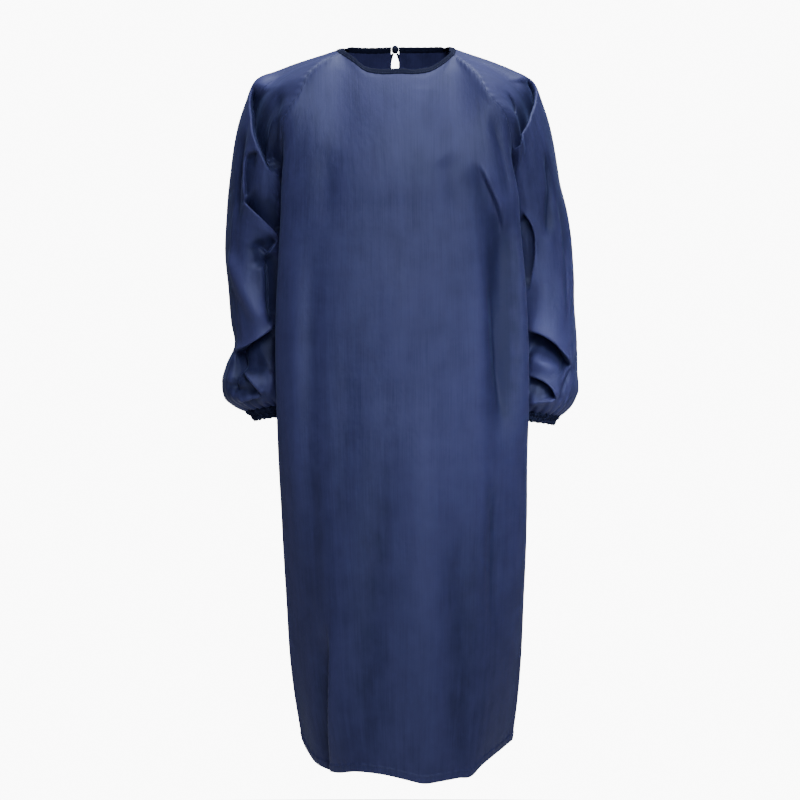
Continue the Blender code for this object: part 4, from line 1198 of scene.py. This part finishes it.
def makeBand(name, profiles, material, lift=None):
    # One closed solid swept through rows of equal profiles, with both ends capped.
    profiles = np.array(profiles)
    count, sides = profiles.shape[:2]
    run = fromZero(stepSizes(profiles.mean(axis=1)))
    girth = fromZero(stepSizes(profiles[count // 2]))
    girth = np.append(girth, girth[-1] + girth[1])
    quads, uvs = gridFaces(count, sides, sides, girth, run)
    quads, uvs = quads[:, [0, 3, 2, 1]], uvs[:, [0, 3, 2, 1]]
    middle = (profiles[0].mean(axis=0), profiles[-1].mean(axis=0))
    vertices = np.concatenate([profiles.reshape(-1, 3), np.array(middle)])
    ends = []
    for centre, start, turned in ((count * sides, 0, True), (count * sides + 1, (count - 1) * sides, False)):
        for j in range(0, sides - 1, 2):
            a, b, c = start + j, start + j + 1, start + (j + 2) % sides
            ends.append((centre, c, b, a) if turned else (centre, a, b, c))
    quads = np.concatenate([quads, np.array(ends)])
    uvs = np.concatenate([uvs, np.zeros((len(ends), 4, 2))])
    rise = np.zeros(len(vertices)) if lift is None else lift
    item = makeMesh(name, vertices, quads, uvs, rise, material)
    mesh = item.data
    volume = sum(face.center.dot(face.normal) * face.area for face in mesh.polygons)
    if volume < 0:
        mesh.flip_normals()
    return item


cadNames = {
    "frontPanelCloth": "front_panel",
    "backLeftCloth": "back_left",
    "backRightCloth": "back_right",
    "sleeveLeftCloth": "sleeve_left",
    "sleeveRightCloth": "sleeve_right",
    "cuffLeftBand": "cuff_left",
    "cuffRightBand": "cuff_right",
    "neckBindingBand": "neck_binding",
    "neckTieLeftTape": "neck_tie_left",
    "neckTieRightTape": "neck_tie_right",
    "neckKnotLump": "neck_knot",
}
pieces = {}
for name, points in grids.items():
    material = bindingCloth if name.startswith("cuff") else coatedCloth
    # The lift also drives the colour: painted shade in the valleys, paler raised places, weaker on the panels
    worn = 1.0 if name in tubes else coated["panelShadeAndWear"]
    pieces[name] = makeShell(name, points, normals[name], lifts[name] * worn, material)
print("panels, sleeves and cuffs made")

binding = {
    "height": 0.0092,
    "thick": 0.0030,
    "overlap": 0.0016,       # how far its edge comes down over the cloth
    "sides": 16,
    "finer": 3,              # stations for each column of the neck
    "rowsIn": 4,             # rows of the cloth below that show which way is in
    "evenRounds": 8,
    "depth": 0.0003,         # of its puckers, with their pitch, drift and swell as in seamForm
    "pitch": 0.0110,
    "drift": (1.6, 43.0),
    "swell": (0.4, 0.6, 23.0, 0.4),
    "swollen": 0.12,         # how much thicker it is at a pucker, taller, and further out
    "taller": 0.5,
    "further": 0.6,
    "tilt": ((0.08, 31.0, 0.0), (0.05, 77.0, 1.0)),  # how it leans to and fro: size, turns, start
    "upright": 0.9,
    "square": (0.75, 0.9),   # powers that square its section, across and up
    "crease": (0.0004, 0.0012, 0.0007),  # line by the lower fold: depth, height and width
    "proud": 0.0002,
    "notch": (0.0279, 0.007, 0.0016),  # where its upper edge dips: x, half width, depth
}


def neckRoute():
    # Edge, way out and way up at each column of the neck, from one back edge round to the other.
    front, back = fineness["frontRaglan"], fineness["backRaglan"]
    neck, half, shoulder = fineness["neck"], fineness["halfBack"], fineness["shoulder"]
    loop = front + back + shoulder
    over = np.arange(front + back, loop + 1) % loop
    behind = np.arange(back + half, back - 1, -1)
    route = [("backLeftCloth", j) for j in behind]
    route += [("sleeveLeftCloth", j) for j in over[1:]]
    route += [("frontPanelCloth", j) for j in range(front + 1, front + neck + 1)]
    route += [("sleeveRightCloth", j) for j in over[::-1][1:]]
    route += [("backRightCloth", j) for j in behind[::-1][1:]]
    edge = np.array([grids[name][0, j] for name, j in route])
    out = np.array([normals[name][0, j] for name, j in route])
    inward = edge - np.array([grids[name][binding["rowsIn"], j] for name, j in route])
    rise = unit(unit(inward) + np.array([0.0, 0.0, binding["upright"]]))
    for _ in range(binding["evenRounds"]):
        out[1:-1] = unit(out[:-2] + 2 * out[1:-1] + out[2:])
        rise[1:-1] = unit(rise[:-2] + 2 * rise[1:-1] + rise[2:])
    return edge, out, unit(rise - out * np.sum(rise * out, axis=1, keepdims=True))


def squared(values, power):
    return np.sign(values) * np.abs(values) ** power


def makeBinding():
    edge, out, rise = neckRoute()
    stations = even((len(edge) - 1) * binding["finer"])
    knots = even(len(edge) - 1)
    edge, out, rise = (between(knots, values, stations) for values in (edge, out, rise))
    out, rise = unit(out), unit(rise)
    run = fromZero(stepSizes(edge))
    wave, strength = puckerWave(run, binding)
    pucker = binding["depth"] * wave * strength
    tilt = sum(size * np.sin(run * turns + start) for size, turns, start in binding["tilt"])
    x, halfWidth, deep = binding["notch"]
    notch = deep * np.exp(-((edge[:, 0] - x) / halfWidth) ** 2) * (edge[:, 1] < 0)
    across, up = np.cos(circle(binding["sides"])), np.sin(circle(binding["sides"]))
    creaseDepth, creaseHeight, creaseWidth = binding["crease"]
    profiles, lift = [], []
    for i in range(len(edge)):
        height = binding["height"] + binding["overlap"] + binding["taller"] * pucker[i] - notch[i]
        thick = binding["thick"] / 2 * (1 + binding["swollen"] * wave[i] * strength[i])
        way = unit(rise[i] + out[i] * tilt[i])
        square = squared(across, binding["square"][0]) * thick
        tall = (0.5 + 0.5 * squared(up, binding["square"][1])) * height - binding["overlap"]
        fold = -creaseDepth * np.exp(-((tall - creaseHeight) / creaseWidth) ** 2) * np.sign(across)
        centre = edge[i] + out[i] * (pucker[i] * binding["further"] + binding["proud"])
        profiles.append(centre + way * tall[:, None] + out[i] * (square + fold)[:, None])
        # The puckers' lift also darkens their hollows in the colour, as painted shade, and pales their tops
        lift.append(np.full(binding["sides"], 1000 * pucker[i]))
    rises = np.concatenate([np.array(lift).ravel(), [0.0, 0.0]])
    return makeBand("neckBindingBand", profiles, bindingCloth, rises), edge, out, rise


ties = {
    "width": 0.0080,
    "thick": 0.0016,
    "finer": 7,
    "sides": 12,
    "ripple": (0.0006, 0.7), # height, and turn for each station
    "start": (0.45, 6.0),    # share of the width at the knot, and the stations until it is full
    "square": 0.6,
}


def makeTie(side):
    # A flat tape along the row's own tie, with a soft ripple and a rolled edge.
    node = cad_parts["neck_tie_" + side]
    corners = np.unique(np.round([tuple(vertex.co) for vertex in node.data.vertices], 5), axis=0)
    corners = corners[np.argsort(-corners[:, 2])]
    count = len(corners) // 4
    middle = corners[:count * 4].reshape(count, 4, 3).mean(axis=1)
    centre = between(even(count - 1), middle, even((count - 1) * ties["finer"]))
    run = unit(np.gradient(centre, axis=0))
    sign = -1 if side == "left" else 1
    panel = "back" + side.capitalize() + "Cloth"
    spots, ways = grids[panel].reshape(-1, 3), normals[panel].reshape(-1, 3)
    turns = circle(ties["sides"])
    ripple, rippleTurn = ties["ripple"]
    narrow, stations = ties["start"]
    profiles = []
    for i, spot in enumerate(centre):
        near = np.argmin(np.sum((spots - spot) ** 2, axis=1))
        out = unit(ways[near])
        wide = unit(np.cross(run[i], out)) * sign
        half = ties["width"] / 2 * (narrow + (1 - narrow) * smooth(i / stations))
        flat = squared(np.cos(turns), ties["square"]) * half
        deep = np.sin(turns) * ties["thick"] / 2 + ripple * math.sin(i * rippleTurn + sign) * np.cos(turns)
        profiles.append(spot + wide * flat[:, None] + out * deep[:, None])
    return makeBand("neckTie" + side.capitalize() + "Tape", profiles, bindingCloth)


knot = {
    "rings": 23,
    "sides": 28,
    "span": 1.35,            # angle from its middle to either end
    "groove": (0.16, 0.16, 1.1),  # depth, width, and how far it winds
    "lobes": (0.05, 3, 2),   # height, number, and how far they wind
}


def makeKnot():
    # The tied lump: bands wrapped over each other, with a groove between them.
    low, high = (np.array(corner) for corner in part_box("neck_knot"))
    centre, size = (low + high) / 2, (high - low) / 2
    turns = circle(knot["sides"])
    groove, width, winding = knot["groove"]
    lobe, lobes, lobeWinding = knot["lobes"]
    profiles = []
    for lift in np.linspace(-knot["span"], knot["span"], knot["rings"]):
        band = 1 - groove * np.exp(-((np.sin(turns + lift * winding)) / width) ** 2)
        band += lobe * np.cos(lobes * turns + lobeWinding * lift)
        ball = np.stack([np.cos(turns), np.sin(turns)], axis=1) * (math.cos(lift) * band)[:, None]
        ball = np.concatenate([ball, np.full((knot["sides"], 1), math.sin(lift))], axis=1)
        profiles.append(centre + ball * size)
    return makeBand("neckKnotLump", profiles, bindingCloth)


pieces["neckBindingBand"], bindEdge, bindOut, bindRise = makeBinding()
pieces["neckTieLeftTape"] = makeTie("left")
pieces["neckTieRightTape"] = makeTie("right")
pieces["neckKnotLump"] = makeKnot()
print("binding, ties and knot made")

# Stitches, laid along lines by one tree of geometry nodes
stitching = {
    "Pitch": 0.0034,
    "Length": 0.0013,        # half a stitch
    "Thickness": 0.00028,    # half the thread
    "Jitter": 0.10,
    "Seed": 5,
}


def stitchTree():
    tree = bpy.data.node_groups.new("stitchesAlongLine", "GeometryNodeTree")
    sockets = {}
    tree.interface.new_socket("Geometry", in_out="INPUT", socket_type="NodeSocketGeometry")
    for key, value in stitching.items():
        kind = "NodeSocketInt" if key == "Seed" else "NodeSocketFloat"
        socket = tree.interface.new_socket(key, in_out="INPUT", socket_type=kind)
        socket.default_value = value
        sockets[key] = socket.identifier
    tree.interface.new_socket("Geometry", in_out="OUTPUT", socket_type="NodeSocketGeometry")
    given = addNode(tree, "NodeGroupInput").outputs

    def add(kind, links, values=None, **settings):
        return addNode(tree, kind, values, links, **settings).outputs

    curve = add("GeometryNodeMeshToCurve", {"Mesh": given["Geometry"]})
    links = {"Curve": curve["Curve"], "Length": given["Pitch"]}
    spaced = add("GeometryNodeResampleCurve", links, mode="LENGTH")
    bead = add("GeometryNodeMeshUVSphere", None, {"Segments": 5, "Rings": 4, "Radius": 1.0})
    links = {"X": given["Thickness"], "Y": given["Thickness"], "Z": given["Length"]}
    size = add("ShaderNodeCombineXYZ", links)
    tangent = add("GeometryNodeInputTangent", None)
    shake = add("FunctionNodeRandomValue", {"Seed": given["Seed"]},
                {0: (-1.0, -1.0, -1.0), 1: (1.0, 1.0, 1.0)}, data_type="FLOAT_VECTOR")
    scaled = add("ShaderNodeVectorMath", {0: shake["Value"], "Scale": given["Jitter"]}, operation="SCALE")
    way = add("ShaderNodeVectorMath", {0: tangent["Tangent"], 1: scaled["Vector"]}, operation="ADD")
    align = add("FunctionNodeAlignRotationToVector", {"Vector": way["Vector"]}, axis="Z")
    links = {"Points": spaced["Curve"], "Instance": bead["Mesh"],
             "Rotation": align["Rotation"], "Scale": size["Vector"]}
    instance = add("GeometryNodeInstanceOnPoints", links)
    real = add("GeometryNodeRealizeInstances", {"Geometry": instance["Instances"]})
    paint = add("GeometryNodeSetMaterial", {"Geometry": real["Geometry"]}, {"Material": thread})
    add("NodeGroupOutput", {"Geometry": paint["Geometry"]})
    return tree, sockets


stitches, stitchSockets = stitchTree()
sewing = {
    "seamGap": 0.0032,       # from a seam to the stitches beside it
    "turnGap": 0.0015,       # from the inner end of a turned edge to the stitches along it
    "proud": 0.0001,         # above the cloth
    "bindUp": 0.0012,        # on the binding, how far up and how proud
    "bindProud": 0.0003,
    "cuffRows": (gathers["rows"] // 2, gathers["rows"] - 3),
    "cuff": {"Pitch": 0.0028, "Length": 0.0010},
    "rows": 40,              # how much of a grid is looked at from its top or hem, or its sides
    "columns": 24,
}


def sewLines(name, lines, **changes):
    # One mesh of stitches along the given lines of points.
    vertices = np.concatenate(lines)
    edges, start = [], 0
    for line in lines:
        edges += [(start + i, start + i + 1) for i in range(len(line) - 1)]
        start += len(line)
    mesh = bpy.data.meshes.new(name + "Line")
    mesh.from_pydata(vertices.tolist(), edges, [])
    guide = addObject(name + "Line", mesh)
    modifier = guide.modifiers.new("stitches", "NODES")
    modifier.node_group = stitches
    for key, value in {**stitching, **changes}.items():
        modifier[stitchSockets[key]] = value
    seen = bpy.context.evaluated_depsgraph_get()
    done = bpy.data.meshes.new_from_object(guide.evaluated_get(seen))
    guide.modifiers.clear()
    bpy.data.objects.remove(guide, do_unlink=True)
    done.name = name
    done.shade_smooth()
    return addObject(name, done)


def inFrom(points, out, distance):
    # Points at one distance down each column of a grid, just proud of the cloth.
    lines, ways = points.transpose(1, 0, 2), out.transpose(1, 0, 2)
    found = []
    for line, way, length in zip(lines, ways, runLengths(lines)):
        spot = np.array([np.interp(distance, length, line[:, axis]) for axis in range(3)])
        rise = unit(np.array([np.interp(distance, length, way[:, axis]) for axis in range(3)]))
        found.append(spot + rise * (cloth["thick"] / 2 + sewing["proud"]))
    return np.array(found)


def topLine(name, columns):
    points, out = grids[name][:sewing["rows"], columns], normals[name][:sewing["rows"], columns]
    return inFrom(points, out, sewing["seamGap"])


def hemLine(name):
    points, out = grids[name][::-1][:sewing["rows"]], normals[name][::-1][:sewing["rows"]]
    return inFrom(points, out, cloth["hemBand"] - sewing["turnGap"])


def sideLine(name, edge, distance):
    points, out = grids[name], normals[name]
    if edge == "last":
        points, out = points[:, ::-1], out[:, ::-1]
    points, out = points[:, :sewing["columns"]], out[:, :sewing["columns"]]
    return inFrom(points.transpose(1, 0, 2), out.transpose(1, 0, 2), distance)


steps, backSteps = fineness["frontRaglan"], fineness["backRaglan"]
lastColumn = grids["frontPanelCloth"].shape[1] - 1
stitched = {
    "frontPanelCloth": sewLines("frontPanelStitches", [
        topLine("frontPanelCloth", np.arange(steps, -1, -1)),
        topLine("frontPanelCloth", np.arange(lastColumn - steps, lastColumn + 1)),
        sideLine("frontPanelCloth", "first", sewing["seamGap"]),
        sideLine("frontPanelCloth", "last", sewing["seamGap"]),
        hemLine("frontPanelCloth"),
    ]),
}
for seed, side in enumerate(("Left", "Right")):
    name = "back" + side + "Cloth"
    stitched[name] = sewLines("back" + side + "Stitches", [
        topLine(name, np.arange(backSteps, -1, -1)),
        hemLine(name),
        sideLine(name, "last", cloth["edgeBand"] - sewing["turnGap"]),
    ], Seed=20 + seed)
    name = "cuff" + side + "Band"
    cuffLines = []
    for row in sewing["cuffRows"]:
        line = grids[name][row] + normals[name][row] * (cloth["thick"] / 2 + sewing["proud"])
        cuffLines.append(np.concatenate([line, line[:1]]))
    stitched[name] = sewLines("cuff" + side + "Stitches", cuffLines, Seed=30 + seed, **sewing["cuff"])
seamLine = bindEdge + bindRise * sewing["bindUp"] + bindOut * (binding["thick"] / 2 + sewing["bindProud"])
stitched["neckBindingBand"] = sewLines("neckBindingStitches", [seamLine], Seed=41)
print("stitches sewn")

# What rides, and what stands for what; the cloth pieces' flat sizes are listed but not used
for name, piece in pieces.items():
    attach(piece, "root")
    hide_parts(cadNames[name])
for name, piece in stitched.items():
    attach(piece, "root")

flatSizes = {
    "frontPanelCloth": ((0.56, 1.16), "hung", 0.540),
    "backLeftCloth": ((0.27, 1.11), "hung", 0.238),
    "backRightCloth": ((0.27, 1.11), "hung", 0.238),
    "sleeveLeftCloth": ((0.46, 0.62), "hung", 0.215),
    "sleeveRightCloth": ((0.46, 0.62), "hung", 0.215),
    "cuffLeftBand": ((0.40, 0.020), "gathered", None),
    "cuffRightBand": ((0.40, 0.020), "gathered", None),
    "neckBindingBand": ((0.013, 0.42), "stretched", None),
    "neckTieLeftTape": ((0.016, 0.12), "hung", None),
    "neckTieRightTape": ((0.016, 0.12), "hung", None),
}
for name, (flat, held, area) in flatSizes.items():
    extras = [stitched[name]] if name in stitched else []
    if name == "neckBindingBand":
        extras.append(pieces["neckKnotLump"])

# Studio
cool, white = (0.88, 0.93, 1.0), (1.0, 1.0, 1.0)
studio = {
    "cameraFar": 9.0,
    "middle": (0.00775, -0.03, -0.547),
    "frame": 1.24,
    "sensor": 36.0,
    "clipEnd": 60.0,
    "floor": -1.34,
    "floorRadius": 2.5,
    "floorSides": 96,
    "floorGrey": 0.55,
    "floorRoughness": 0.9,
    "floorGlow": 0.10,
    "backdrop": 10.0,        # strength of the white that stands behind, and of the light all round
    "skyLight": 0.10,
    "skyColour": (0.92, 0.95, 1.0),
    "lights": {              # place, target, size, power, colour and spread in degrees
        "key": ((0.35, -1.95, 1.10), (0.0, 0.0, -0.30), 1.0, 49.0, cool, 180),
        "top": ((-0.35, 0.15, 1.35), (-0.14, 0.0, 0.0), 0.8, 18.0, cool, 180),
        "over": ((0.50, 0.15, 1.35), (0.14, 0.0, 0.0), 0.8, 31.0, cool, 180),
        "side": ((1.3, -1.5, 0.3), (0.30, 0.0, -0.56), 0.3, 0.46, cool, 20),
        "front": ((-0.2, -3.2, 0.6), (0.0, 0.0, -0.20), 1.0, 8.0, cool, 180),
        "middle": ((0.1, -3.2, 0.0), (0.0, 0.0, -0.52), 0.5, 0.36, cool, 22),
        "rear": ((0.3, 2.6, -0.2), (0.0, 0.0, -0.6), 1.4, 50.0, white, 180),
    },
}


def makeCamera():
    data = bpy.data.cameras.new("camera")
    data.sensor_width = studio["sensor"]
    data.lens = studio["sensor"] * studio["cameraFar"] / studio["frame"]
    data.clip_end = studio["clipEnd"]
    camera = addObject("camera", data)
    x, y, z = studio["middle"]
    camera.location = (x, y - studio["cameraFar"], z)
    camera.rotation_euler = (math.pi / 2, 0.0, 0.0)
    bpy.context.scene.camera = camera


def makeFloor():
    material, tree = makeMaterial("paleFloor")
    shader = tree.nodes["Principled BSDF"]
    shader.inputs["Base Color"].default_value = (*[studio["floorGrey"]] * 3, 1.0)
    shader.inputs["Roughness"].default_value = studio["floorRoughness"]
    shader.inputs["Emission Color"].default_value = (*white, 1.0)
    shader.inputs["Emission Strength"].default_value = studio["floorGlow"]
    radius, sides = studio["floorRadius"], studio["floorSides"]
    rim = [(radius * math.cos(turn), radius * math.sin(turn), studio["floor"]) for turn in circle(sides)]
    mesh = bpy.data.meshes.new("floor")
    mesh.from_pydata(rim, [], [tuple(range(sides))])
    mesh.materials.append(material)
    addObject("floor", mesh)


def makeLight(name, place, target, size, power, colour, spread):
    data = bpy.data.lights.new(name, "AREA")
    data.shape = "DISK"
    data.size = size
    data.energy = power
    data.color = colour
    data.spread = math.radians(spread)
    light = addObject(name, data)
    light.location = place
    way = Vector(target) - Vector(place)
    light.rotation_euler = way.to_track_quat("-Z", "Y").to_euler()


def makeWorld():
    world = bpy.data.worlds.new("studio")
    world.use_nodes = True
    tree = world.node_tree
    tree.nodes.clear()
    path = addNode(tree, "ShaderNodeLightPath")
    values = {"Color": (*studio["skyColour"], 1.0), "Strength": studio["skyLight"]}
    light = addNode(tree, "ShaderNodeBackground", values)
    values = {"Color": (*white, 1.0), "Strength": studio["backdrop"]}
    backdrop = addNode(tree, "ShaderNodeBackground", values)
    links = {"Fac": path.outputs["Is Camera Ray"], 1: light.outputs[0], 2: backdrop.outputs[0]}
    mix = addNode(tree, "ShaderNodeMixShader", None, links)
    addNode(tree, "ShaderNodeOutputWorld", None, {"Surface": mix.outputs[0]})
    bpy.context.scene.world = world


makeCamera()
makeFloor()
makeWorld()
for name, settings in studio["lights"].items():
    makeLight(name, *settings)
print("studio made")
